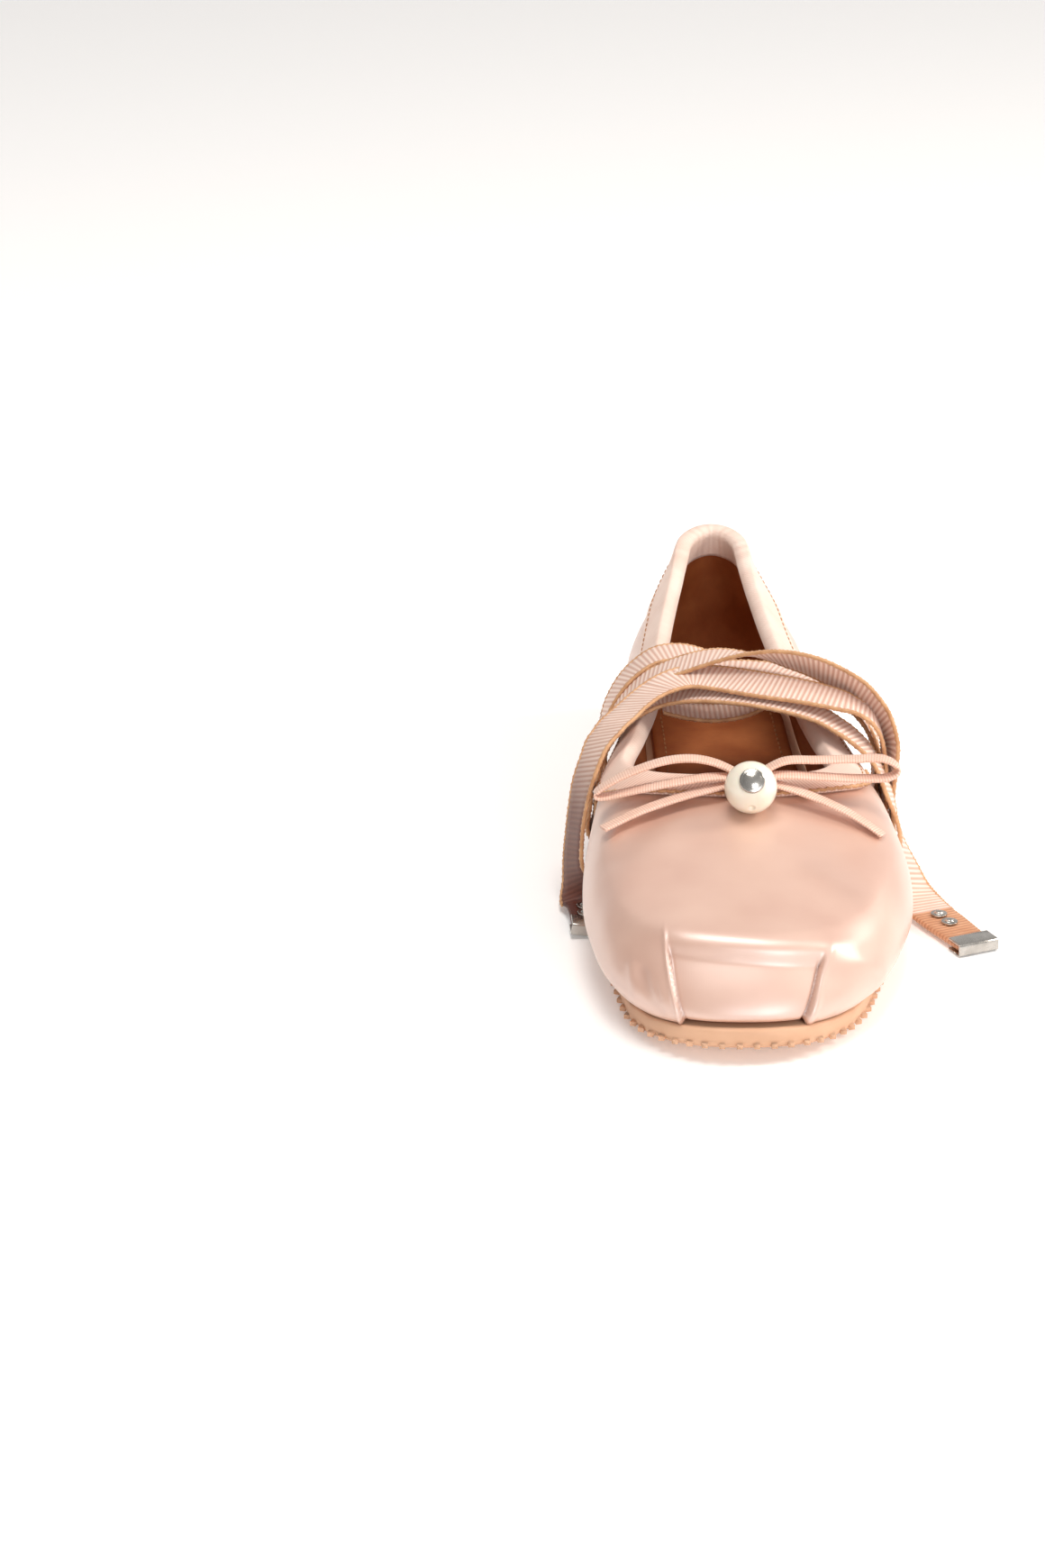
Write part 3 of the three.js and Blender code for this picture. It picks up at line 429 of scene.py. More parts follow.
def put(tree: NodeTree, kind: str, inputs: dict | None = None, **settings: object) -> Node:
    """Adds a node to a tree.

    Args:
        tree: The node tree.
        kind: Blender's name of the node's type.
        inputs: Values or output sockets for its inputs, by name or number.
        **settings: Properties of the node.

    Returns:
        The node.
    """
    node = tree.nodes.new(kind)
    for key, value in settings.items():
        setattr(node, key, value)
    for key, value in (inputs or {}).items():
        if isinstance(value, NodeSocket):
            tree.links.new(value, node.inputs[key])
        else:
            node.inputs[key].default_value = value
    return node


def mixed(
    tree: NodeTree, share: NodeSocket, low: object, high: object, blend: str = "MIX"
) -> NodeSocket:
    """Mixes two colours by a share, in one of Blender's blend types."""
    values = {0: share, 6: low, 7: high}
    return put(tree, "ShaderNodeMix", values, data_type="RGBA", blend_type=blend).outputs[2]


def ranged(tree: NodeTree, value: NodeSocket, **ends: float) -> NodeSocket:
    """Maps a value to a range whose ends are given as from_min, from_max, to_min or to_max."""
    inputs = {key.replace("_", " ").title(): end for key, end in ends.items()}
    return put(tree, "ShaderNodeMapRange", {"Value": value, **inputs}).outputs[0]


def noise(tree: NodeTree, where: NodeSocket, scale: object, detail: float) -> NodeSocket:
    """Value of a Noise Texture."""
    inputs = {"Vector": where, "Scale": scale, "Detail": detail}
    return put(tree, "ShaderNodeTexNoise", inputs).outputs["Fac"]


def maths(tree: NodeTree, operation: str, *values: object) -> NodeSocket:
    """Output of a Math node with the given values or sockets."""
    return put(tree, "ShaderNodeMath", dict(enumerate(values)), operation=operation).outputs[0]


def colour(red: int, green: int, blue: int) -> tuple[float, float, float, float]:
    """A screen colour from 0 to 255 as the linear one that shaders take."""
    line = [c / 255 for c in (red, green, blue)]
    return (*(c / 12.92 if c <= 0.04045 else ((c + 0.055) / 1.055) ** 2.4 for c in line), 1.0)


def sockets(
    tree: NodeTree, inputs: dict[str, tuple], outputs: dict[str, str]
) -> tuple[Node, Node]:
    """Makes a group's named inputs and outputs.

    Args:
        tree: The group.
        inputs: Socket type and default for each input.
        outputs: Socket type for each output.

    Returns:
        The group's input node and output node.
    """
    for key, (kind, value) in inputs.items():
        made = tree.interface.new_socket(name=key, in_out="INPUT", socket_type=kind)
        if value is not None:
            made.default_value = value
    for key, kind in outputs.items():
        tree.interface.new_socket(name=key, in_out="OUTPUT", socket_type=kind)
    return tree.nodes.new("NodeGroupInput"), tree.nodes.new("NodeGroupOutput")


# Shader effects that several finishes use


def cloudy_group() -> NodeTree:
    """Group with slow clouds between two colours, and their value as a mask."""
    tree = bpy.data.node_groups.new("cloudy", "ShaderNodeTree")
    start, end = sockets(
        tree,
        {
            "Vector": ("NodeSocketVector", None),
            "Scale": ("NodeSocketFloat", 60.0),
            "Low": ("NodeSocketColor", (0, 0, 0, 1)),
            "High": ("NodeSocketColor", (1, 1, 1, 1)),
        },
        {"Color": "NodeSocketColor", "Mask": "NodeSocketFloat"},
    )
    drift = noise(tree, start.outputs["Vector"], start.outputs["Scale"], 4.0)
    mask = ranged(tree, drift, from_min=0.32, from_max=0.68)
    mix = mixed(tree, mask, start.outputs["Low"], start.outputs["High"])
    tree.links.new(mix, end.inputs["Color"])
    tree.links.new(mask, end.inputs["Mask"])
    return tree


def weave_group() -> NodeTree:
    """Group with crossed threads, as a height."""
    tree = bpy.data.node_groups.new("weave", "ShaderNodeTree")
    start, end = sockets(
        tree,
        {
            "Vector": ("NodeSocketVector", None),
            "Threads": ("NodeSocketFloat", 4000.0),
            "Slub": ("NodeSocketFloat", 0.4),
        },
        {"Height": "NodeSocketFloat"},
    )
    split = put(tree, "ShaderNodeSeparateXYZ", {0: start.outputs["Vector"]})
    waves = []
    for axis in (0, 1, 2):
        run = maths(tree, "MULTIPLY", split.outputs[axis], start.outputs["Threads"])
        waves.append(maths(tree, "SINE", run))
    crossed = maths(tree, "MULTIPLY", maths(tree, "MULTIPLY", waves[0], waves[1]), waves[2])
    uneven = noise(tree, start.outputs["Vector"], 2400.0, 2.0)
    slub = maths(tree, "MULTIPLY", uneven, start.outputs["Slub"])
    tree.links.new(maths(tree, "ADD", crossed, slub), end.inputs["Height"])
    return tree


def grain_group() -> NodeTree:
    """Group with leather grain and pores, as a height."""
    tree = bpy.data.node_groups.new("grain", "ShaderNodeTree")
    start, end = sockets(
        tree,
        {"Vector": ("NodeSocketVector", None), "Scale": ("NodeSocketFloat", 900.0)},
        {"Height": "NodeSocketFloat"},
    )
    where = {"Vector": start.outputs["Vector"], "Scale": start.outputs["Scale"]}
    cells = put(tree, "ShaderNodeTexVoronoi", where, feature="SMOOTH_F1")
    pores = maths(tree, "MULTIPLY", noise(tree, start.outputs["Vector"], 2600.0, 3.0), 0.35)
    height = maths(tree, "ADD", cells.outputs["Distance"], pores)
    tree.links.new(height, end.inputs["Height"])
    return tree


@dataclass(frozen=True)
class Effects:
    """The shader groups, made once."""

    cloudy: NodeTree
    weave: NodeTree
    grain: NodeTree


@dataclass(frozen=True)
class Finish:
    """A procedural finish: two drifting colours, a height and plain shader values, and where set a
    painted shade colour for hollows and folds and a painted shadow colour.
    """

    name: str
    low: tuple[int, int, int]
    high: tuple[int, int, int]
    clouds: float = 60
    roughness: tuple[float, float] = (0.5, 0.6)
    bump: float = 0.1
    depth: float = 0.0001
    relief: Relief = Relief.WEAVE
    threads: float = 4000
    painted_shade: tuple[int, int, int] | None = None
    painted_shadow: tuple[int, int, int] | None = None
    shader: tuple[tuple[str, float], ...] = ()
    sheen: tuple[int, int, int] | None = None

    def material(self, effects: Effects) -> Material:
        """Builds the material.

        Args:
            effects: The shared shader groups.

        Returns:
            The material.
        """
        made = bpy.data.materials.new(self.name)
        made.use_nodes = True
        tree = made.node_tree
        shader = tree.nodes["Principled BSDF"]
        where = put(tree, "ShaderNodeTexCoord").outputs["Object"]
        drift = {"Vector": where, "Scale": self.clouds}
        drift.update({"Low": colour(*self.low), "High": colour(*self.high)})
        clouds = put(tree, "ShaderNodeGroup", drift, node_tree=effects.cloudy)
        base = clouds.outputs["Color"]
        woven = self.relief is Relief.WEAVE
        relief = put(
            tree,
            "ShaderNodeGroup",
            {"Vector": where, "Threads" if woven else "Scale": self.threads},
            node_tree=effects.weave if woven else effects.grain,
        )
        # Painted shade: the piece's attribute mixes in a darker colour in rib hollows, fold lines
        # and sunken creases.
        if self.painted_shade:
            unshaded = put(tree, "ShaderNodeAttribute", attribute_name="unshaded").outputs["Fac"]
            base = mixed(tree, unshaded, colour(*self.painted_shade), base)
        # Painted shadow: a darker colour multiplied in where the piece's attribute says, over the
        # lower part of the inner tie end.
        if self.painted_shadow:
            amount = put(tree, "ShaderNodeAttribute", attribute_name="painted_shadow").outputs["Fac"]
            base = mixed(tree, amount, base, colour(*self.painted_shadow), "MULTIPLY")
        tree.links.new(base, shader.inputs["Base Color"])
        least, most = self.roughness
        rough = ranged(tree, clouds.outputs["Mask"], to_min=least, to_max=most)
        tree.links.new(rough, shader.inputs["Roughness"])
        fine = {"Strength": self.bump, "Distance": self.depth, "Height": relief.outputs["Height"]}
        tree.links.new(put(tree, "ShaderNodeBump", fine).outputs[0], shader.inputs["Normal"])
        for key, value in self.shader:
            shader.inputs[key].default_value = value
        if self.sheen:
            shader.inputs["Sheen Tint"].default_value = colour(*self.sheen)
        return made


# The satin's third colour is painted shade, laid along the fold lines of the toe's face and in the
# sunken creases.
SATIN = Finish(
    "blush_satin", (212, 163, 140), (222, 178, 155), 45, (0.4, 0.48), 0.14, 0.00005,
    Relief.WEAVE, 14000,
    painted_shade=(150, 92, 70),
    shader=(
        ("Sheen Weight", 0.2), ("Sheen Roughness", 0.4), ("IOR", 1.9), ("Specular IOR Level", 0.9),
        ("Coat Weight", 0.8), ("Coat Roughness", 0.4), ("Coat IOR", 2.1),
    ),
    sheen=(255, 236, 226),
)
# The ribbon's third colour is painted shade in the hollows between its ribs; the last is a painted
# shadow, multiplied over the lower part of the inner hanging end.
TAPE = Finish(
    "ribbed_ribbon", (246, 222, 208), (253, 234, 222), 90, (0.5, 0.62), 0.15, 0.00008,
    Relief.WEAVE, 7000,
    painted_shade=(206, 158, 136), painted_shadow=(112, 66, 50),
    shader=(("Sheen Weight", 0.3), ("Sheen Roughness", 0.5)), sheen=(255, 232, 220),
)
# The binding's third colour is painted shade, in stripes across its front where ribs would shade
# their hollows; the mesh has no ribs there.
FELT = Finish(
    "collar_binding", (240, 210, 194), (248, 224, 210), 120, (0.6, 0.75), 0.3, 0.00012,
    Relief.WEAVE, 5200,
    painted_shade=(206, 162, 142), shader=(("Sheen Weight", 0.35), ("Sheen Roughness", 0.5)),
    sheen=(255, 236, 226),
)
CORD = Finish(
    "tan_cord", (196, 142, 98), (222, 172, 126), 400, (0.5, 0.65), 0.3, 0.0001, Relief.WEAVE, 9000,
    shader=(("Sheen Weight", 0.2),),
)
# The bow's third colour is painted shade in the hollows between its fine ribs.
RIBBON = Finish(
    "satin_ribbon", (248, 206, 184), (255, 226, 209), 160, (0.36, 0.46), 0.5, 0.0002,
    Relief.WEAVE, 5200,
    painted_shade=(228, 178, 154), shader=(("Sheen Weight", 0.3), ("Sheen Roughness", 0.4)),
    sheen=(255, 236, 226),
)
LEATHER = Finish(
    "lining_leather", (150, 78, 36), (182, 108, 60), 70, (0.55, 0.68), 0.25, 0.00012,
    Relief.GRAIN, 1300,
    shader=(("Specular IOR Level", 0.4),),
)
THREAD = Finish(
    "tan_thread", (170, 116, 76), (196, 142, 98), 500, (0.5, 0.6), 0.3, 0.0001, Relief.WEAVE, 12000,
)
SOLE_RUBBER = Finish(
    "tan_sole", (212, 164, 130), (226, 180, 147), 50, (0.5, 0.62), 0.2, 0.0001, Relief.GRAIN, 1500,
    shader=(("Specular IOR Level", 0.45),),
)
PEARL = Finish(
    "cream_pearl", (244, 231, 206), (254, 247, 232), 70, (0.16, 0.24), 0.03, 0.00005,
    Relief.GRAIN, 700,
    shader=(
        ("Coat Weight", 0.6), ("Coat Roughness", 0.08),
        ("Subsurface Weight", 0.1), ("Subsurface Scale", 0.002),
    ),
)
METAL = Finish(
    "silver_metal", (172, 168, 162), (198, 194, 188), 300, (0.18, 0.3), 0.06, 0.00004,
    Relief.GRAIN, 2600,
    shader=(("Metallic", 1.0),),
)
# The folded end's third colour is painted shade in the hollows between ribs; the last is a painted
# shadow over the lower part of the inner end.
TIE_LEATHER = Finish(
    "folded_tie_end", (204, 150, 112), (226, 178, 142), 220, (0.5, 0.62), 0.3, 0.00012,
    Relief.GRAIN, 2200,
    painted_shade=(180, 124, 92), painted_shadow=(112, 66, 50),
)


# The last that the upper follows


def track(table: Array, column: int, at: Array) -> Array:
    """Reads a column of a table at shares, smoothly between the rows.

    Args:
        table: Rows, with the share in the first column.
        column: The column to read.
        at: Where to read.

    Returns:
        The values there.
    """
    keys, values = table[:, 0], table[:, column]
    last = len(keys) - 1
    x = np.clip(at, keys[0], keys[-1])
    i = np.clip(np.searchsorted(keys, x, side="left") - 1, 0, last - 1)

    def slope(k: Array) -> Array:
        """Rise of the values about row k."""
        a, b = np.maximum(k - 1, 0), np.minimum(k + 1, last)
        return (values[b] - values[a]) / (keys[b] - keys[a])

    span = keys[i + 1] - keys[i]
    t = (x - keys[i]) / span
    t2, t3 = t * t, t * t * t
    start = values[i] * (2 * t3 - 3 * t2 + 1) + slope(i) * span * (t3 - 2 * t2 + t)
    return start + values[i + 1] * (3 * t2 - 2 * t3) + slope(i + 1) * span * (t3 - t2)


def rounded(distance: Array, length: float, power: float) -> Array:
    """How much of a width is left near an end, from 0 at the end to 1."""
    share = np.clip(distance / length, 0, 1)
    return (1 - (1 - share) ** power) ** (1 / power)


@dataclass
class Last:
    """The form that the upper is drawn over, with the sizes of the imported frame."""

    length: float = 245
    ball: float = 84
    heel_top: float = 56
    throat_top: float = 38
    sole_edge: float = 4.8
    heel_seat: float = 8.6
    toe_spring: float = 4.2
    feather: float = 2
    gap: float = 0.3
    toe_turn: float = 0.45
    heel_turn: float = 0.8
    small: float = 1e-3
    toe_round: tuple[float, float] = (0.163, 2.5)
    heel_round: tuple[float, float] = (0.16, 2)
    throat_round: tuple[float, float] = (0.06, 3)
    mouth_round: tuple[float, float] = (0.05, 2)
    toe_hub: tuple[float, float] = (-0.012, 0.45)
    heel_hub: tuple[float, float] = (-0.04, 0.84)
    halvings: int = 40
    fine_steps: int = 401
    crowding: float = 1.35

    def ends(self, y: Array, span: tuple[float, float], round_at: Sequence[tuple]) -> Array:
        """How much of a width is left between a front and a back end that are rounded."""
        (front, back), (first, final) = span, round_at
        near = rounded(y - front, first[0] * self.length, first[1])
        return near * rounded(back - y, final[0] * self.length, final[1])

    def outline(self, column: int, y: Array, back: float) -> tuple[Array, Array]:
        """Centre and half width of the sole or the body at a distance from the toe."""
        half = track(OUTLINE, column, y / self.length)
        half = half * self.ends(y, (0, back), (self.toe_round, self.heel_round))
        return track(OUTLINE, 1, y / self.length) * self.ball, half * self.ball

    def sole_width(self, y: Array) -> tuple[Array, Array]:
        """Centre and half width of the sole."""
        return self.outline(2, y, self.length - self.feather / 2)

    def body_width(self, y: Array) -> tuple[Array, Array]:
        """Centre and half width of the widest line of the upper."""
        return self.outline(3, y, self.length)

    def open_width(self, y: Array) -> tuple[Array, Array]:
        """Centre and half width of the opening."""
        span = (TOPLINE[0, 0] * self.length, TOPLINE[-1, 0] * self.length)
        ends = self.ends(y, span, (self.throat_round, self.mouth_round))
        half = track(TOPLINE, 2, y / self.length) * ends
        return track(TOPLINE, 1, y / self.length) * self.ball, half * self.ball

    def top_height(self, y: Array) -> Array:
        """Height of the open edge."""
        rise = track(TOPLINE, 3, y / self.length)
        return self.throat_top + rise * (self.heel_top - self.throat_top)

    def sole_bottom(self, y: Array) -> Array:
        """Height of the sole's underside, with the toe's spring."""
        return np.maximum(track(SOLE_LEVELS, 2, y / self.length), 0) * self.toe_spring

    def sole_top(self, y: Array) -> Array:
        """Height of the sole's upper face."""
        rise = track(SOLE_LEVELS, 1, y / self.length) * (self.heel_seat - self.sole_edge)
        return self.sole_edge + rise + self.sole_bottom(y)

    def rays(self, turns: Array) -> tuple[Array, Array]:
        """Start and direction of the sections from above, at signed turns from toe to heel."""
        side, t = np.where(turns < 0, -1.0, 1.0), np.abs(turns)
        toe, heel = np.array([self.toe_hub, self.heel_hub]) * (self.ball, self.length)
        share = np.clip((t - self.toe_turn) / (self.heel_turn - self.toe_turn), 0, 1)
        start = toe + (heel - toe) * share[:, None]
        quarter = math.pi / 2
        angle = quarter * np.minimum(t / self.toe_turn, 1)
        angle = angle + quarter * np.maximum(t - self.heel_turn, 0) / (1 - self.heel_turn)
        return start, np.stack([side * np.sin(angle), -np.cos(angle)], 1)

    def reach(self, turns: Array, width: Callable) -> Array:
        """Distance along each ray to an outline, by halving."""
        start, out = self.rays(turns)
        near, far = np.zeros(len(turns)), np.full(len(turns), float(self.length))
        for _ in range(self.halvings):
            r = (near + far) / 2
            at = start + out * r[:, None]
            centre, half = width(at[:, 1])
            inside = np.abs(at[:, 0] - centre) < half
            near, far = np.where(inside, r, near), np.where(inside, far, r)
        return near

    def sections(self, turns: Array) -> Array:
        """The five points that bend each section, as distance out and height."""
        start, out = self.rays(turns)
        body, opening = self.reach(turns, self.body_width), self.reach(turns, self.open_width)
        foot = self.reach(turns, self.sole_width) - self.feather
        inward = body - opening
        low = self.sole_top((start + out * foot[:, None])[:, 1]) + self.gap
        height = self.top_height((start + out * opening[:, None])[:, 1]) - low
        of = [track(SECTIONS, k, np.abs(turns)) for k in range(7)]
        points = [
            (foot, low),
            (body + of[1] * self.ball, low + of[2] * height),
            (body - of[3] * inward, low + of[4] * height),
            (body - of[5] * inward, low + of[6] * height),
            (opening, low + height),
        ]
        return np.stack([np.stack(p, 1) for p in points], 1)

    def surface(self, turns: Array, rise: Array) -> Array:
        """Points of the surface: rise runs from the sole at 0 to the open edge at 1.

        Args:
            turns: Signed turns, one for each section.
            rise: One row for all sections, or one row for each.

        Returns:
            Points, by section and rise.
        """
        start, out = self.rays(turns)
        bend = self.sections(turns)
        rise = np.broadcast_to(rise, (len(turns), np.shape(rise)[-1]))
        at = np.clip(rise, 0, 1) * 3
        k = np.minimum(np.floor(at).astype(int), 2)
        t = (at - k)[..., None]
        row = np.arange(len(turns))[:, None]
        first = np.where((k == 0)[..., None], bend[row, 0], (bend[row, k] + bend[row, k + 1]) / 2)
        onward = (bend[row, k + 1] + bend[row, np.minimum(k + 2, 4)]) / 2
        final = np.where((k == 2)[..., None], bend[row, 4], onward)
        mix = (1 - t) ** 2 * first + 2 * t * (1 - t) * bend[row, k + 1] + t * t * final
        flat = start[:, None] + out[:, None] * mix[..., :1]
        return np.concatenate([flat, mix[..., 1:]], 2)

    def climb(self, turns: Array, rise: Array) -> Array:
        """Direction up the surface."""
        rise = np.broadcast_to(rise, (len(turns), np.shape(rise)[-1]))
        up = self.surface(turns, np.minimum(rise + self.small, 1))
        return unit(up - self.surface(turns, np.maximum(rise - self.small, 0)))

    def normals(self, turns: Array, rise: Array) -> Array:
        """Direction out of the surface."""
        after, before = turns + self.small, turns - self.small
        after = np.where(after > 1, after - 2, after)
        before = np.where(before < -1, before + 2, before)
        around = self.surface(after, rise) - self.surface(before, rise)
        return unit(np.cross(around, self.climb(turns, rise)))

    def offset(
        self, turns: Array, rise: Array, out: Array | float, lift: float = 0
    ) -> Array:
        """The surface moved out along its normal, and up past the open edge by lift."""
        out = np.asarray(out, float)
        out = out[..., None] if out.ndim else out
        moved = self.surface(turns, rise) + self.normals(turns, rise) * out
        return moved + self.climb(turns, rise) * lift if lift else moved

    def below(self, turns: Array, distance: Array | float) -> Array:
        """The rise a distance below the open edge, measured on the surface, by section."""
        fine = np.linspace(1, 0, self.fine_steps)
        line = self.surface(turns, fine)
        length = np.cumsum(np.linalg.norm(np.diff(line, axis=1), axis=2), 1)
        length = np.concatenate([np.zeros((len(turns), 1)), length], 1)
        wanted = np.broadcast_to(distance, (len(turns),))
        return np.array([np.interp(d, row, fine) for d, row in zip(wanted, length)])[:, None]

    def turns(self, toe: int, side: int, heel: int) -> Array:
        """Turns once round the foot, close together at the toe."""
        half = [self.toe_turn * (i / toe) ** self.crowding for i in range(toe)]
        half += [self.toe_turn + (self.heel_turn - self.toe_turn) * i / side for i in range(side)]
        half += [self.heel_turn + (1 - self.heel_turn) * i / heel for i in range(heel + 1)]
        return np.array(half + [-t for t in half[-2:0:-1]])

    def sole_ring(self, turns: Array, inset: float, height: Callable) -> Array:
        """Points along the sole's outline at an inset, at the height that a function gives."""
        start, out = self.rays(turns)
        at = start + out * (self.reach(turns, self.sole_width) - inset)[:, None]
        return np.concatenate([at, height(at[:, 1])[:, None]], 1)


# Geometry Nodes for what repeats along a path


def path_tree(name: str, inputs: dict[str, tuple]) -> tuple[NodeTree, Node, Node]:
    """Starts a Geometry Nodes group with a path going in and a mesh coming out.

    Args:
        name: Name of the group.
        inputs: Socket type and default for each size.

    Returns:
        The group, its input node and its output node.
    """
    tree = bpy.data.node_groups.new(name, "GeometryNodeTree")
    path = {"Path": ("NodeSocketGeometry", None)}
    start, end = sockets(tree, {**path, **inputs}, {"Mesh": "NodeSocketGeometry"})
    return tree, start, end


def spaced_path(tree: NodeTree, start: Node, step: str) -> NodeSocket:
    """The path as a curve, with points as far apart as the named input says."""
    curve = put(tree, "GeometryNodeMeshToCurve", {0: start.outputs["Path"]})
    steps = {"Curve": curve.outputs[0], "Length": start.outputs[step]}
    return put(tree, "GeometryNodeResampleCurve", steps, mode="LENGTH").outputs[0]


def close_tree(tree: NodeTree, start: Node, end: Node, made: NodeSocket) -> None:
    """Makes a group's result real, smooth and dressed, and puts it out."""
    real = put(tree, "GeometryNodeRealizeInstances", {0: made})
    smooth = put(tree, "GeometryNodeSetShadeSmooth", {0: real.outputs[0]})
    dress = {"Geometry": smooth.outputs[0], "Material": start.outputs["Finish"]}
    dressed = put(tree, "GeometryNodeSetMaterial", dress)
    tree.links.new(dressed.outputs[0], end.inputs["Mesh"])


def twisted_cord_tree() -> NodeTree:
    """Group that lays a twisted cord along a path."""
    tree, start, end = path_tree(
        "twisted_cord",
        {
            "Radius": ("NodeSocketFloat", 0.0006),
            "Twist": ("NodeSocketFloat", 0.003),
            "Step": ("NodeSocketFloat", 0.0005),
            "Finish": ("NodeSocketMaterial", None),
        },
    )
    spaced = spaced_path(tree, start, "Step")
    run = put(tree, "GeometryNodeSplineParameter").outputs["Length"]
    angle = maths(tree, "MULTIPLY", maths(tree, "DIVIDE", run, start.outputs["Twist"]), math.tau)
    turned = put(tree, "GeometryNodeSetCurveTilt", {"Curve": spaced, "Tilt": angle})
    inner = maths(tree, "MULTIPLY", start.outputs["Radius"], 0.66)
    lobes = put(
        tree,
        "GeometryNodeCurveStar",
        {"Points": 3, "Inner Radius": inner, "Outer Radius": start.outputs["Radius"]},
    )
    mesh = put(
        tree,
        "GeometryNodeCurveToMesh",
        {"Curve": turned.outputs[0], "Profile Curve": lobes.outputs[0], "Fill Caps": True},
    )
    close_tree(tree, start, end, mesh.outputs[0])
    return tree


def stitches_tree() -> NodeTree:
    """Group that sets stitches along a path."""
    tree, start, end = path_tree(
        "stitches",
        {
            "Pitch": ("NodeSocketFloat", 0.0026),
            "Length": ("NodeSocketFloat", 0.0019),
            "Thickness": ("NodeSocketFloat", 0.0005),
            "Finish": ("NodeSocketMaterial", None),
        },
    )
    spaced = spaced_path(tree, start, "Pitch")
    ball = put(tree, "GeometryNodeMeshUVSphere", {"Segments": 6, "Rings": 5, "Radius": 0.5})
    size = put(
        tree,
        "ShaderNodeCombineXYZ",
        {0: start.outputs["Thickness"], 1: start.outputs["Thickness"], 2: start.outputs["Length"]},
    )
    shape = {"Geometry": ball.outputs[0], "Scale": size.outputs[0]}
    stitch = put(tree, "GeometryNodeTransform", shape)
    run = put(tree, "GeometryNodeInputTangent")
    turn = put(tree, "FunctionNodeAlignRotationToVector", {"Vector": run.outputs[0]}, axis="Z")
    copies = put(
        tree,
        "GeometryNodeInstanceOnPoints",
        {"Points": spaced, "Instance": stitch.outputs[0], "Rotation": turn.outputs[0]},
    )
    close_tree(tree, start, end, copies.outputs[0])
    return tree


def plain_mesh(made: Object, layers: bool) -> None:
    """Turns an object's modifiers into its mesh.

    Args:
        made: The object.
        layers: True where every layer of the mesh is kept.
    """
    graph = bpy.context.evaluated_depsgraph_get()
    made.data = bpy.data.meshes.new_from_object(
        made.evaluated_get(graph), preserve_all_data_layers=layers, depsgraph=graph
    )
    made.modifiers.clear()


def along_paths(
    name: str, paths: Sequence[Array], tree: NodeTree, sizes: dict
) -> Object:
    """Runs a Geometry Nodes group over paths and keeps its result as a plain mesh.

    Args:
        name: Name of the piece.
        paths: Points of each path, in table millimetres.
        tree: The group.
        sizes: Value of each named input.

    Returns:
        The piece.
    """
    mesh = bpy.data.meshes.new(name)
    points, edges = [], []
    for path in paths:
        first = len(points)
        points += place(path).tolist()
        edges += [(first + i, first + i + 1) for i in range(len(path) - 1)]
    mesh.from_pydata(points, edges, [])
    made = add_object(name, mesh)
    modifier = made.modifiers.new(tree.name, "NODES")
    modifier.node_group = tree
    for item in tree.interface.items_tree:
        if item.in_out == "INPUT" and item.name in sizes:
            modifier[item.identifier] = sizes[item.name]
    plain_mesh(made, True)
    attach(made, BODY)
    return made


def stitch_sizes(effects: Effects, pitch: float, length: float, thick: float) -> dict:
    """Sizes of a row of stitches, in metres, and their thread."""
    thread = THREAD.material(effects)
    return {"Pitch": pitch, "Length": length, "Thickness": thick, "Finish": thread}


# Sub-assemblies


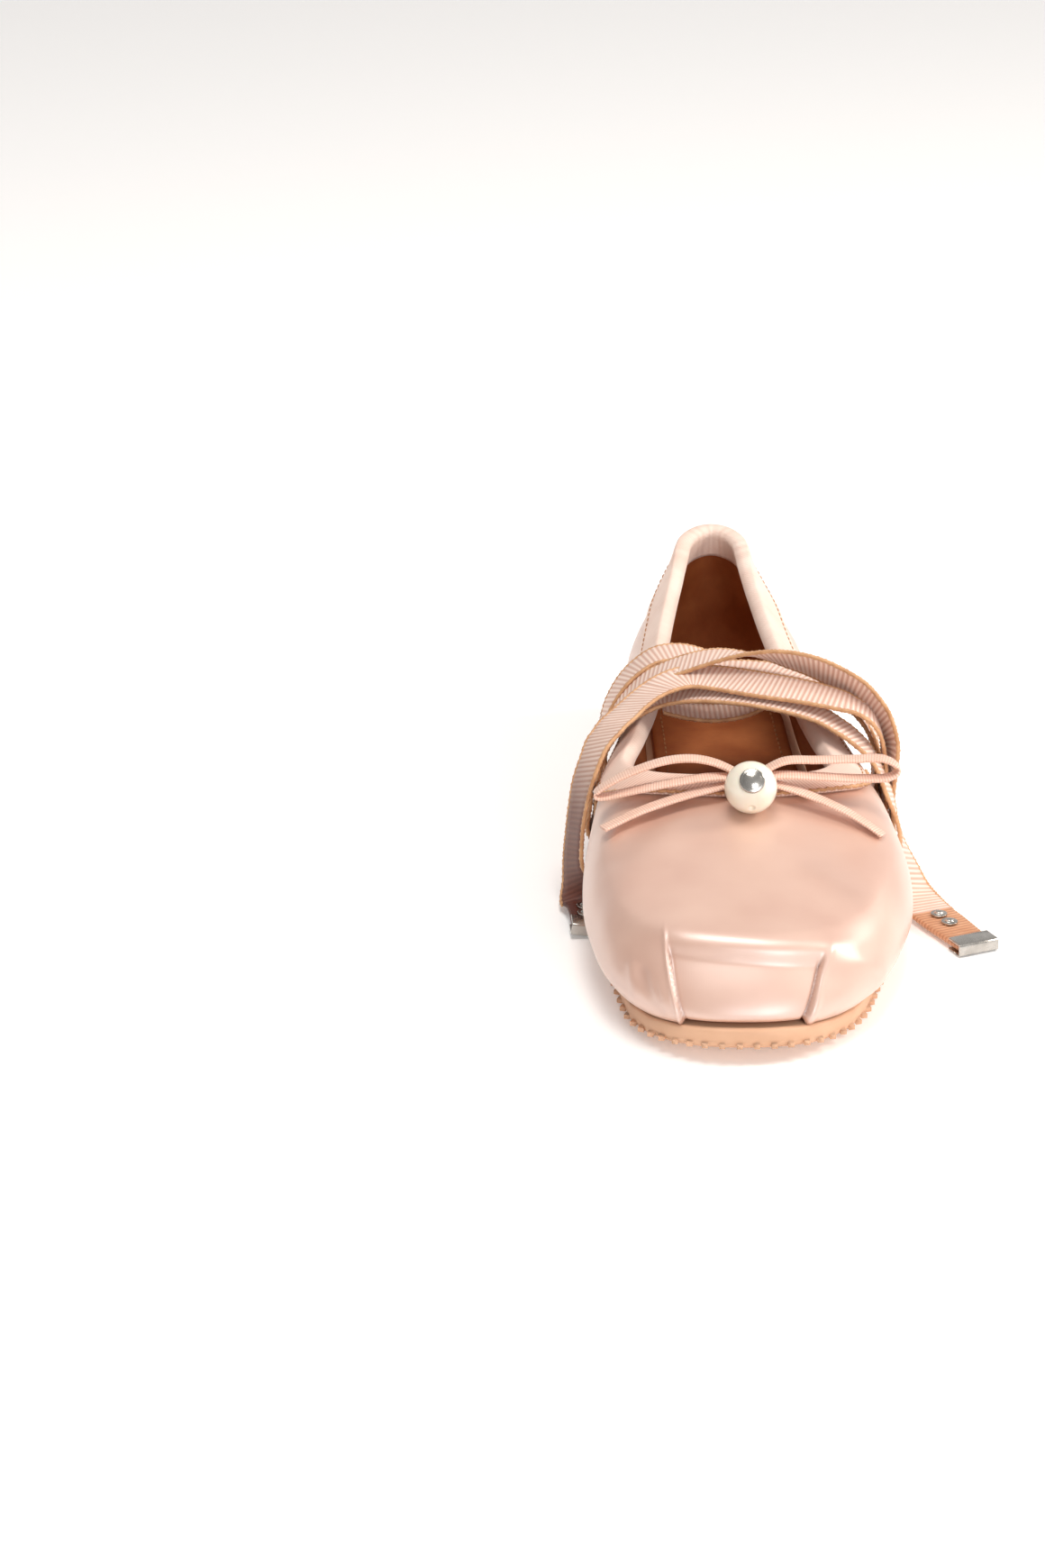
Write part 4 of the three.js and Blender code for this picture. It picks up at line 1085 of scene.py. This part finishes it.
@dataclass
class Studio:
    """Camera, floor and soft light."""

    place: tuple[float, float, float] = (-58, -949.5, 457.3)
    tilt: float = 68
    lens: float = 99.31

    def camera(self) -> None:
        """Sets the camera at the photograph's angle."""
        data = bpy.data.cameras.new("camera")
        data.lens = self.lens
        data.clip_end = 20
        made = add_object("camera", data)
        made.location = place(self.place).tolist()
        made.rotation_euler = (math.radians(self.tilt), 0, 0)
        bpy.context.scene.camera = made

    def floor(self) -> None:
        """Lays a plain pale floor that rises far behind."""
        steps, width = 24, 4.0
        run = np.linspace(-2.0, 6.0, steps)
        lift = np.where(run > 3, (run - 3) ** 2 * 0.4, 0)
        points = [(x, y, z) for y, z in zip(run, lift) for x in (-width, width)]
        faces = [(2 * i, 2 * i + 1, 2 * i + 3, 2 * i + 2) for i in range(steps - 1)]
        mesh = bpy.data.meshes.new("floor")
        mesh.from_pydata(points, [], faces)
        made = add_object("floor", mesh)
        finish = bpy.data.materials.new("pale_floor")
        finish.use_nodes = True
        shader = finish.node_tree.nodes["Principled BSDF"]
        shader.inputs["Base Color"].default_value = (0.97, 0.965, 0.96, 1)
        shader.inputs["Roughness"].default_value = 0.7
        shader.inputs["Emission Color"].default_value = (1, 0.98, 0.97, 1)
        shader.inputs["Emission Strength"].default_value = 0.16
        mesh.materials.append(finish)

    def light(
        self,
        name: str,
        at: tuple[float, float, float],
        size: float,
        power: float,
        tint: tuple[float, float, float],
    ) -> None:
        """Adds a soft square light that looks at the shoe.

        Args:
            name: Name of the light.
            at: Its place, in metres.
            size: Side, in metres.
            power: Power, in watts.
            tint: Its colour.
        """
        data = bpy.data.lights.new(name, "AREA")
        data.size, data.energy, data.color = size, power, tint
        made = add_object(name, data)
        made.location = at
        away = np.array(at) - np.array([0, 0, 0.03])
        down = math.atan2(math.hypot(away[0], away[1]), away[2])
        made.rotation_euler = (down, 0, math.atan2(away[1], away[0]) + math.pi / 2)

    def build(self) -> None:
        """Makes the whole studio."""
        self.camera()
        self.floor()
        self.light("key", (1.1, 0.12, 0.85), 0.4, 8.5, (1.0, 0.93, 0.85))
        self.light("top", (-0.05, -0.1, 1.2), 0.55, 7.5, (1.0, 0.96, 0.92))
        self.light("front", (0.45, -1.5, 0.5), 0.7, 8.5, (0.96, 0.98, 1.0))
        world = bpy.data.worlds.new("world")
        world.use_nodes = True
        sky = world.node_tree.nodes["Background"]
        sky.inputs["Color"].default_value = (1.0, 0.98, 0.965, 1)
        tree = world.node_tree
        way = put(tree, "ShaderNodeTexCoord").outputs["Generated"]
        across = put(tree, "ShaderNodeSeparateXYZ", {0: way}).outputs[0]
        spread = ranged(tree, across, from_min=-1.0, to_min=0.28, to_max=0.66)
        tree.links.new(spread, sky.inputs["Strength"])
        bpy.context.scene.world = world
        bpy.context.scene.view_settings.view_transform = "Standard"


@dataclass
class Upper:
    """Satin upper with the pleats at its toe, and its leather lining."""

    last: Last
    wall: float = 1.8
    satin: float = 0.9
    face_depth: float = 1.3
    face_low: float = 8.5
    face_high: float = 25
    drop: float = 1.05
    drop_back: tuple[float, float] = (-50, -36)
    drop_top: tuple[float, float] = (28, 36)
    face_back: tuple[float, float] = (-46, -34)
    # Each pair is for the left and the right edge of the toe's face
    fold_height: tuple[float, float] = (0.5, 0.45)
    fold_width: tuple[float, float] = (0.5, 1.0)
    groove_depth: tuple[float, float] = (0.45, 1.0)
    fold_shade: tuple[float, float] = (0.55, 0.95)
    brow: float = 1.25
    brow_up: float = 2.0
    brow_width: float = 1.9
    brow_across: tuple[float, float] = (15, 34)
    groove_width: float = 0.38
    crease_shade: float = 0.35
    behind_gap: float = 0.05

    def toe_drop(self, points: Array) -> Array:
        """Where the toe's wall lies deeper, behind its flat face: 1 there, 0 elsewhere."""
        near = smooth_step(-points[..., 1], *self.drop_back)
        return near * (1 - smooth_step(points[..., 2], *self.drop_top))

    def face(self, x: Array, z: Array) -> tuple[Array, Array, Array]:
        """How far inside the toe's flat face a point is.

        Args:
            x: Place across.
            z: Height.

        Returns:
            Distance inside the left edge, the right edge and the top edge.
        """
        low = 1 - np.clip((z - self.face_low) / (self.face_high - self.face_low), 0, 1)
        top = 24.4 - (x + 22.2) * 0.06 + 0.9 * (1 - ((x + 3) / 19) ** 2)
        return x + 22.3 - 3.6 * low**1.6, 16.1 - 5.5 * low - x, top - z

    def relief(self, points: Array, rise: Array) -> Array:
        """How far the satin stands out or in: the flat toe face, its folds and the soft creases.

        Args:
            points: Points of the plain surface.
            rise: Their rise, from the sole to the open edge.

        Returns:
            Distance out of the surface, in millimetres.
        """
        x, y, z = points[..., 0], points[..., 1], points[..., 2]
        left, right, under = self.face(x, z)
        side = np.minimum(left, right)
        by_left = left < right
        out = -self.face_depth * smooth_step(side, -0.45, 0.45) * smooth_step(under, -1.0, 1.4)
        width = np.where(by_left, *self.fold_width)
        fold = np.exp(-(((side + 1.35 * width) / width) ** 2)) * smooth_step(under, -3.5, 0.5)
        groove = np.exp(-(((side - 0.1) / self.groove_width) ** 2)) * smooth_step(under, -0.3, 1.5)
        brow = np.exp(-(((under + self.brow_up) / self.brow_width) ** 2))
        out = out + fold * np.where(by_left, *self.fold_height)
        out = out - groove * np.where(by_left, *self.groove_depth)
        out = out + self.brow * brow * (1 - smooth_step(np.abs(x + 3), *self.brow_across))
        out = out * smooth_step(-y, *self.face_back)
        for line, spread, height in CREASES:
            away = self.from_line(points, np.array(line, float))
            out = out + height * np.exp(-((away / spread) ** 2))
        return out * smooth_step(-rise, -1, -0.94)

    def shade(self, points: Array) -> Array:
        """How clear of painted shade each point is: 1 on the open satin, less along the fold lines
        of the toe's face and in the sunken creases.
        """
        left, right, under = self.face(points[..., 0], points[..., 2])
        side = np.minimum(left, right)
        line = np.exp(-(((side - 0.15) / 0.33) ** 2)) * smooth_step(under, -0.3, 1.2)
        dark = np.where(left < right, *self.fold_shade) * line
        dark = dark * smooth_step(-points[..., 1], *self.face_back)
        for run, spread, height in CREASES:
            near = np.exp(-((self.from_line(points, np.array(run, float)) / spread) ** 2))
            dark = dark + max(0, -height) * self.crease_shade * near
        return 1 - np.clip(dark, 0, 1)

    @staticmethod
    def from_line(points: Array, line: Array) -> Array:
        """Distance of points from a line of several straight runs."""
        best = np.full(points.shape[:-1], 1e9)
        for a, b in zip(line[:-1], line[1:]):
            run = b - a
            t = np.clip(((points - a) @ run) / (run @ run), 0, 1)
            best = np.minimum(best, np.linalg.norm(points - a - t[..., None] * run, axis=-1))
        return best

    def shell(
        self, turns: Array, outer: Array, inner: Array, out: Callable, depth: float
    ) -> tuple[Array, list]:
        """Points and faces of a closed wall that follows the last.

        Args:
            turns: Sections.
            outer: Rises of the outer face.
            inner: Rises of the inner face, from the top down.
            out: Gives the outer face's distance out from points and rises.
            depth: Depth of the inner face.

        Returns:
            Points and faces.
        """
        plain = self.last.surface(turns, outer)
        faced = plain + self.last.normals(turns, outer) * out(plain, outer)[..., None]
        deeper = self.drop * self.toe_drop(self.last.surface(turns, inner))
        back = self.last.offset(turns, inner, -depth - deeper)
        rings = np.concatenate([faced, back], 1).transpose(1, 0, 2)
        return rings.reshape(-1, 3), ring_faces(rings.shape[0], rings.shape[1], True)

    def behind(self, points: Array, _rise: Array) -> Array:
        """Distance out of the lining's outer face, just behind the satin."""
        return -self.satin - self.behind_gap - self.drop * self.toe_drop(points)

    def build(self, effects: Effects) -> None:
        """Makes the satin and the lining."""
        turns = self.last.turns(300, 50, 45)
        outer = np.linspace(0, 1, 105)
        inner = np.linspace(1, 0, 14)
        points, faces = self.shell(turns, outer, inner, self.relief, self.satin)
        # Painted shade along the toe's fold lines and in the sunken creases; the lining rows stay
        # clear of it.
        open_satin = self.shade(self.last.surface(turns, outer))
        clear = np.concatenate([open_satin, np.ones((len(turns), len(inner)))], 1).T
        finish = SATIN.material(effects)
        satin = outward(piece("upper_satin", points, faces, finish, {"unshaded": clear}))
        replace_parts(satin, "upper")
        turns = self.last.turns(60, 30, 24)
        outer, inner = np.linspace(0, 1, 24), np.linspace(1, 0, 30)
        points, faces = self.shell(turns, outer, inner, self.behind, self.wall)
        outward(piece("upper_lining", points, faces, LEATHER.material(effects)))
        LOG.info("upper and lining made")


@dataclass
class Collar:
    """Binding folded over the open edge, with its corded edge and stitches."""

    last: Last
    outer: float = 9.5
    inner: float = 7
    thick: float = 1
    gap: float = 0.45
    wall: float = 1.8
    lift: float = 0.3
    scallop: float = 2.5
    scallop_drop: float = 0.75
    seam_down: float = 2.0

    def build(self, effects: Effects, cord: NodeTree, stitches: NodeTree) -> None:
        """Makes the binding, the cord and the stitches."""
        turns = self.last.turns(150, 70, 50)
        face = self.gap + self.thick
        inside = -self.wall - self.gap
        rim = self.lift + self.thick
        rings = [
            self.flange(turns, self.outer, self.gap),
            self.flange(turns, self.outer + 0.25, self.gap + 0.5),
            self.flange(turns, self.outer - 0.2, face),
        ]
        rings += [self.flange(turns, d, face) for d in np.linspace(self.outer - 0.9, 0.4, 10)]
        rings += [self.crown(turns, face - 0.1, 0.6), self.crown(turns, face - 0.5, rim - 0.15)]
        rings += [self.crown(turns, -self.wall / 2, rim)]
        rings += [self.crown(turns, inside - self.thick + 0.5, rim - 0.15)]
        down = np.linspace(0.4, self.inner, 8)
        rings += [self.flange(turns, d, inside - self.thick) for d in down]
        rings += [self.flange(turns, d, inside) for d in np.linspace(self.inner, 0, 5)]
        rings += [self.crown(turns, out, self.lift) for out in (inside, self.gap)]
        rings += [self.flange(turns, d, self.gap) for d in np.linspace(1, self.outer - 1, 5)]
        count = len(turns)
        points = np.concatenate(rings)
        # Painted shade: darker stripes across the front of the binding, and faintly at the heel,
        # stand for the shade in rib hollows that the mesh does not have.
        shown = 1 - smooth_step(np.abs(turns), 0.3, 0.42)
        shown = shown + 0.3 * smooth_step(np.abs(turns), 0.9, 0.94)
        hollow_shade = 0.5 + 0.5 * np.cos(math.tau * walked(rings[4]))
        unshaded = np.tile(1 - hollow_shade * (0.06 + 0.94 * shown), len(rings))
        faces = ring_faces(len(rings), count, True)
        finish = FELT.material(effects)
        made = piece("collar_binding", points, faces, finish, {"unshaded": unshaded})
        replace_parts(outward(made), "collar_tape")
        front = np.linspace(-0.43, 0.43, 420)
        walk = self.flange(front, self.outer - 0.1, face)
        drop = self.scallop_drop * np.abs(np.sin(math.pi * walked(walk) / self.scallop))
        edge = self.flange(front, self.outer - 0.4 + drop, face + 0.1)
        along_paths(
            "collar_edge_cord",
            [edge],
            cord,
            {"Radius": 0.00055, "Twist": 0.0024, "Step": 0.0004, "Finish": CORD.material(effects)},
        )
        round_turns = np.concatenate([np.linspace(0.36, 1, 220), np.linspace(-1, -0.36, 220)])
        seam = self.flange(round_turns, self.outer - self.seam_down, face + 0.05)
        along_paths(
            "collar_stitches",
            [seam],
            stitches,
            stitch_sizes(effects, 0.0026, 0.0019, 0.0005),
        )
        LOG.info("collar made")

    def flange(self, turns: Array, distance: Array | float, out: float) -> Array:
        """A ring on the surface, a distance below the open edge."""
        return self.last.offset(turns, self.last.below(turns, distance), out)[:, 0]

    def crown(self, turns: Array, out: float, lift: float) -> Array:
        """A ring above the open edge."""
        return self.last.offset(turns, np.ones((len(turns), 1)), out, lift)[:, 0]


@dataclass
class Insole:
    """Leather insole with its rows of stitches."""

    last: Last
    inset: float = 5.1
    rest: float = 0.6
    thick: float = 1.6
    middle: float = 15
    seam: float = 3.2

    def build(self, effects: Effects, stitches: NodeTree) -> None:
        """Makes the insole and its stitches."""
        turns = self.last.turns(60, 40, 30)
        edge, thick = self.inset, self.thick
        levels = [(self.middle, 0), (edge + 0.4, 0), (edge, 0.3), (edge, 1.0)]
        levels += [(edge + 0.5, thick), (edge + 1.5, thick), (self.middle, thick)]
        rings = [self.ring(turns, inset, rise) for inset, rise in levels]
        faces = ring_faces(len(rings), len(turns), False)
        finish = LEATHER.material(effects)
        made = piece("insole_leather", np.concatenate(rings), faces, finish)
        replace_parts(outward(made), "insole")
        rows = [
            self.ring(np.linspace(first, final, 160), edge + self.seam, thick + 0.05)
            for first, final in ((0.3, 0.98), (-0.98, -0.3))
        ]
        along_paths(
            "insole_stitches",
            rows,
            stitches,
            stitch_sizes(effects, 0.0032, 0.0022, 0.0006),
        )
        LOG.info("insole made")

    def ring(self, turns: Array, inset: float, rise: float) -> Array:
        """A ring over the sole at an inset and a rise."""
        return self.last.sole_ring(turns, inset, lambda y: self.last.sole_top(y) + self.rest + rise)


def dressed_copy(
    name: str, node: str, finish: Material, bevel: float = 0
) -> Object:
    """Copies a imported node, welds it, rounds its edges and stands in for it.

    Args:
        name: Name of the piece.
        node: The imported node.
        finish: Material.
        bevel: Width of the rounding, in metres.

    Returns:
        The piece.
    """
    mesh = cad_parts[node].data.copy()
    mesh.materials.clear()
    made = add_object(name, mesh)
    made.modifiers.new("weld", "WELD").merge_threshold = 1e-6
    if bevel:
        rounding = made.modifiers.new("rounding", "BEVEL")
        rounding.width, rounding.segments, rounding.limit_method = bevel, 3, "ANGLE"
    plain_mesh(made, False)
    result = made.data
    result.materials.clear()
    result.materials.append(finish)
    result.polygons.foreach_set("use_smooth", [True] * len(result.polygons))
    result.set_sharp_from_angle(angle=math.radians(32))
    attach(made, BODY)
    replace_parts(made, node)
    return made


# Where the points of a ribbon's profile lie across it, from edge to edge, and how thin its edge is
ACROSS = (-1, -0.93, -0.5, 0, 0.5, 0.93, 1)
EDGE_SHARE = 0.35


@dataclass
class Ribbon:
    """A flat ribbon on a route: its frames, its ribbed body and the lines of its edges."""

    rows: Sequence[Way]
    width: float = 12
    thick: float = 0.9
    pitch: float = 1.4
    cuts: int = 4
    relief: float = 0.16

    def values(self, at: Array, column: str) -> Array:
        """A column of the route, smoothly between its rows."""
        read = np.array([getattr(row, column) for row in self.rows], float)
        last = len(read) - 1
        i = np.clip(np.floor(at).astype(int), 0, last - 1)
        t = at - i
        a, b, c, d = (read[np.clip(i + k, 0, last)] for k in (-1, 0, 1, 2))
        return b + 0.5 * t * (c - a + t * (2 * a - 5 * b + 4 * c - d + t * (3 * (b - c) + d - a)))

    def centres(self, at: Array) -> Array:
        """Points of the middle line."""
        return np.stack([self.values(at, c) for c in "xyz"], 1)

    def frames(self, at: Array) -> tuple[Array, ...]:
        """Middle, run, width direction and upward direction at places of the route."""
        last = len(self.rows) - 1
        base = np.clip(np.floor(at), 0, last - 1)
        after, before = np.minimum(at + 0.01, base + 1), np.maximum(at - 0.01, base)
        run = unit(self.centres(after) - self.centres(before))
        yaw, pitch, lean = (np.radians(self.values(at, c)) for c in ("yaw", "pitch", "lean"))
        level = np.cos(pitch)
        wide = np.stack([level * np.cos(yaw), level * np.sin(yaw), np.sin(pitch)], 1)
        wide = unit(wide - run * (run * wide).sum(1)[:, None])
        turned = wide * np.cos(lean)[:, None] + np.cross(run, wide) * np.sin(lean)[:, None]
        return self.centres(at), run, turned, np.cross(run, turned)

    def spaced(self, first: float, final: float, step: float) -> Array:
        """Places of the route that lie a step apart, from row first to row final."""
        fine = np.linspace(first, final, int((final - first) * 60) + 2)
        walk = walked(self.centres(fine))
        count = max(2, round(walk[-1] / step) + 1)
        return np.interp(np.linspace(0, walk[-1], count), walk, fine)

    def body(
        self, first: float, final: float, points: list, faces: list, ribs: list
    ) -> None:
        """Adds the ribbed ribbon between two rows.

        Args:
            first: Row where it starts.
            final: Row where it ends.
            points: Points so far.
            faces: Faces so far.
            ribs: How high on a rib each point lies, which also sets how clear of painted shade it
                is.
        """
        at = self.spaced(first, final, self.pitch / self.cuts)
        centre, _run, wide, up = self.frames(at)
        share, layers = self.values(at, "share"), self.values(at, "layers")
        # Rib height: 1 on the crests, which stay clear of the painted shade, 0 in the hollows.
        unshaded = 0.5 - 0.5 * np.cos(math.tau * np.arange(len(at)) / self.cuts)
        profile = [(a, 1 if abs(a) < 1 else EDGE_SHARE) for a in ACROSS]
        profile += [(a, -deep) for a, deep in reversed(profile)]
        start = len(points)
        half = self.width * share / 2
        deep = self.thick * layers / 2 - self.relief * (1 - unshaded)
        rings = np.stack(
            [centre + wide * (a * half)[:, None] + up * (r * deep)[:, None] for a, r in profile], 1
        )
        points += rings.reshape(-1, 3).tolist()
        # The rib height also goes to the material, which paints shade in the hollows between ribs.
        ribs += np.repeat(unshaded, len(profile)).tolist()
        faces += [tuple(start + k for k in f) for f in ring_faces(len(at), len(profile), False)]

    def edges(self, first: float, final: float, inset: float) -> list[Array]:
        """Lines of both edges between two rows."""
        at = self.spaced(first, final, 0.8)
        centre, _run, wide, _up = self.frames(at)
        reach = self.values(at, "share") * self.width / 2 - inset
        return [centre + wide * (side * reach)[:, None] for side in (-1, 1)]


@dataclass(frozen=True)
class Tie:
    """One tie: its route, how far its end is folded back and the heights over which painted shadow
    darkens its hanging end.
    """

    name: str
    end: tuple[Way, ...]
    crossing: tuple[Way, ...]
    turn_back: float
    painted_shadow_heights: tuple[float, float] | None = None


INNER = Tie("inner", INNER_TIE_END, INNER_TIE_CROSSING, 3.2, (20, 44))
OUTER = Tie("outer", OUTER_TIE_END, OUTER_TIE_CROSSING, 2.6)


@dataclass
class Ties:
    """The two instep ties: their crossing, their hanging ends, and the metal on those."""

    width: float = 12
    edge_inset: float = 0.05
    clip_bevel: float = 0.00018
    stud_bevel: float = 0.00012

    def build(self, effects: Effects, cord: NodeTree) -> None:
        """Makes both ties."""
        tape, metal, edge = TAPE.material(effects), METAL.material(effects), CORD.material(effects)
        folded = TIE_LEATHER.material(effects)
        points, faces, ribs, lines = [], [], [], []
        for tie in (INNER, OUTER):
            ribbon = Ribbon(tie.end + tie.crossing)
            join, last = len(tie.end) - 0.5, len(ribbon.rows) - 1
            ribbon.body(join, last, points, faces, ribs)
            lines += ribbon.edges(join, last, self.edge_inset)
            self.hanging_end(tie, ribbon, join, (tape, metal, edge, folded), cord)
        shown = {"unshaded": np.array(ribs)}
        made = piece("tie_crossing_ribbon", np.array(points), faces, tape, shown)
        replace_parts(outward(made), "tie_crossing")
        along_paths("tie_crossing_edges", lines, cord, self.edge_sizes(edge))
        LOG.info("ties made")

    @staticmethod
    def edge_sizes(finish: Material) -> dict:
        """Sizes of the twisted cord along a tie's edge."""
        return {"Radius": 0.00072, "Twist": 0.0032, "Step": 0.0007, "Finish": finish}

    def hanging_end(
        self, tie: Tie, ribbon: Ribbon, join: float, finishes: tuple[Material, ...], cord: NodeTree
    ) -> None:
        """Args:
            tie: The tie.
            ribbon: The tie's ribbon.
            join: Row where the crossing goes on.
            finishes: Ribbon, metal, edge cord and folded end.
            cord: Group that lays the edge cord.
        """
        tape, metal, edge, folded = finishes
        name = tie.name
        points, faces, ribs = [], [], []
        ribbon.body(0, join, points, faces, ribs)
        # Painted shadow: where heights are given, the hanging end darkens towards the floor.
        shaded = np.zeros(len(points))
        if tie.painted_shadow_heights:
            shaded = 1 - smooth_step(np.array(points)[:, 2], *tie.painted_shadow_heights)
        shown = {"unshaded": np.array(ribs), "painted_shadow": shaded}
        made = piece(f"tie_end_{name}_ribbon", np.array(points), faces, tape, shown)
        made.data.materials.append(folded)
        doubled = len(ribbon.spaced(0, tie.turn_back, ribbon.pitch / ribbon.cuts))
        doubled *= 2 * len(ACROSS)
        for face in made.data.polygons:
            face.material_index = 1 if max(face.vertices) < doubled else 0
        outward(made)
        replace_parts(made, f"tie_end_{name}")
        lines = ribbon.edges(tie.turn_back, join, self.edge_inset)
        sizes = self.edge_sizes(edge)
        with_it = [along_paths(f"tie_end_{name}_edges", lines, cord, sizes)]
        metals = [(f"tie_tip_{name}_clip", f"tie_tip_{name}", self.clip_bevel)]
        for k in (1, 2):
            metals.append((f"tie_stud_{name}_{k}", f"tie_rivet_{name}_{k}", self.stud_bevel))
        for shown_as, node, bevel in metals:
            with_it.append(dressed_copy(shown_as, node, metal, bevel))
        path = place(ribbon.centres(ribbon.spaced(0, join, 2.0)))[::-1]


@dataclass
class Bow:
    """Satin bow: two loops, two ends and the knot."""

    width: float = 4.5
    thick: float = 0.8
    knot: tuple[float, float, float] = (0.6, 84.4, 41.4)
    knot_size: tuple[float, float, float] = (9.6, 5.6, 5.6)

    def build(self, effects: Effects) -> None:
        """Makes the bow as one piece."""
        points, faces, ribs = [], [], []
        for rows in BOW_STRIPS:
            strip = Ribbon(rows, self.width, self.thick, 0.7, 2, 0.05)
            strip.body(0, len(rows) - 1, points, faces, ribs)
        start = len(points)
        turns, rings = 32, 20
        for r in range(rings + 1):
            lat = math.pi * (r / rings - 0.5)
            for t in range(turns):
                lon = math.tau * t / turns
                pinch = 1 + 0.05 * math.sin(5 * lat) - 0.06 * math.cos(8 * lon) * math.cos(lat)
                way = (math.sin(lat), math.cos(lat) * math.sin(lon), math.cos(lat) * math.cos(lon))
                spot = zip(self.knot, self.knot_size, way)
                points.append([c + s / 2 * w * pinch for c, s, w in spot])
                ribs.append(1)
        faces += [tuple(start + k for k in f) for f in ring_faces(rings + 1, turns, False)]
        finish, shown = RIBBON.material(effects), {"unshaded": np.array(ribs)}
        made = piece("bow_ribbon", np.array(points), faces, finish, shown)
        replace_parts(made, "bow")
        LOG.info("bow made")


@dataclass
class Bead:
    """Pearl bead with its hole, and the plain domed cap on it."""

    last: Last
    size: float = 13.5
    seat: float = 16
    gap: float = 0.3
    cap: float = 6
    cap_tilt: float = 36

    def centre(self) -> Array:
        """Middle of the bead."""
        turns = np.array([0.01])
        rise = self.last.below(turns, self.seat)
        return self.last.offset(turns, rise, self.size / 2 + self.gap)[0, 0]

    @staticmethod
    def polar(reach: float, angle: float) -> tuple[float, float]:
        """Distance out and height of a point at an angle from the axis."""
        return reach * math.sin(angle), reach * math.cos(angle)

    def lathe(
        self, profile: Sequence[tuple[float, float]], count: int, tilt: float, centre: Array
    ) -> tuple[Array, list]:
        """Points and faces of a profile turned about an axis that leans forward.

        Args:
            profile: Distance out and height of each ring, from one end to the other.
            count: Points in a ring.
            tilt: Angle of the axis from straight up, in radians, towards the toe.
            centre: Where the axis starts.

        Returns:
            Points and faces.
        """
        axis = np.array([0, -math.sin(tilt), math.cos(tilt)])
        side, other = np.array([1.0, 0, 0]), np.cross(axis, [1.0, 0, 0])
        angles = np.linspace(0, math.tau, count, endpoint=False)
        spokes = [side * math.cos(a) + other * math.sin(a) for a in angles]
        rings = [[centre + axis * h + r * spoke for spoke in spokes] for r, h in profile]
        return np.array(rings).reshape(-1, 3), ring_faces(len(profile), count, False)

    def build(self, effects: Effects) -> None:
        """Makes the bead and the cap."""
        centre, radius = self.centre(), self.size / 2
        lats = np.linspace(-math.pi / 2 + 0.13, math.pi / 2 - 0.13, 44)
        profile = [(radius * math.cos(a), radius * math.sin(a)) for a in lats]
        hole = [(0.25, radius - 0.9), (0.8, radius - 0.35)]
        profile = [(r, -h) for r, h in hole] + profile + hole[::-1]
        points, faces = self.lathe(profile, 64, -math.radians(60), centre)
        made = outward(piece("pearl_bead", points, faces, PEARL.material(effects)))
        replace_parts(made, "bead")
        inner = radius + self.gap
        half = math.asin(self.cap / self.size)
        under = [self.polar(inner, half * t) for t in np.linspace(0.02, 1, 12)]
        over = []
        for t in np.linspace(1, 0.02, 14):
            proud = 0.35 + 0.45 * math.sqrt(max(0, 1 - t * t)) + (0.14 if 0.82 < t < 0.97 else 0)
            over.append(self.polar(inner + proud, half * t))
        points, faces = self.lathe(under + over, 40, math.radians(90 - self.cap_tilt), centre)
        cap = outward(piece("bead_plain_cap", points, faces, METAL.material(effects)))
        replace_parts(cap, "bead_cap")
        LOG.info("bead made")


def main() -> None:
    """Builds the shoe and the studio."""
    logging.basicConfig(level=logging.INFO, format="%(name)s: %(message)s")
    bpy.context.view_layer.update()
    Studio().build()
    effects = Effects(cloudy_group(), weave_group(), grain_group())
    cord, stitches = twisted_cord_tree(), stitches_tree()
    last = Last()
    Ties().build(effects, cord)
    Upper(last).build(effects)
    Collar(last).build(effects, cord, stitches)
    Insole(last).build(effects, stitches)
    dressed_copy("outsole_rubber", "outsole", SOLE_RUBBER.material(effects))
    Bow().build(effects)
    Bead(last).build(effects)


if __name__ == "__main__":
    main()
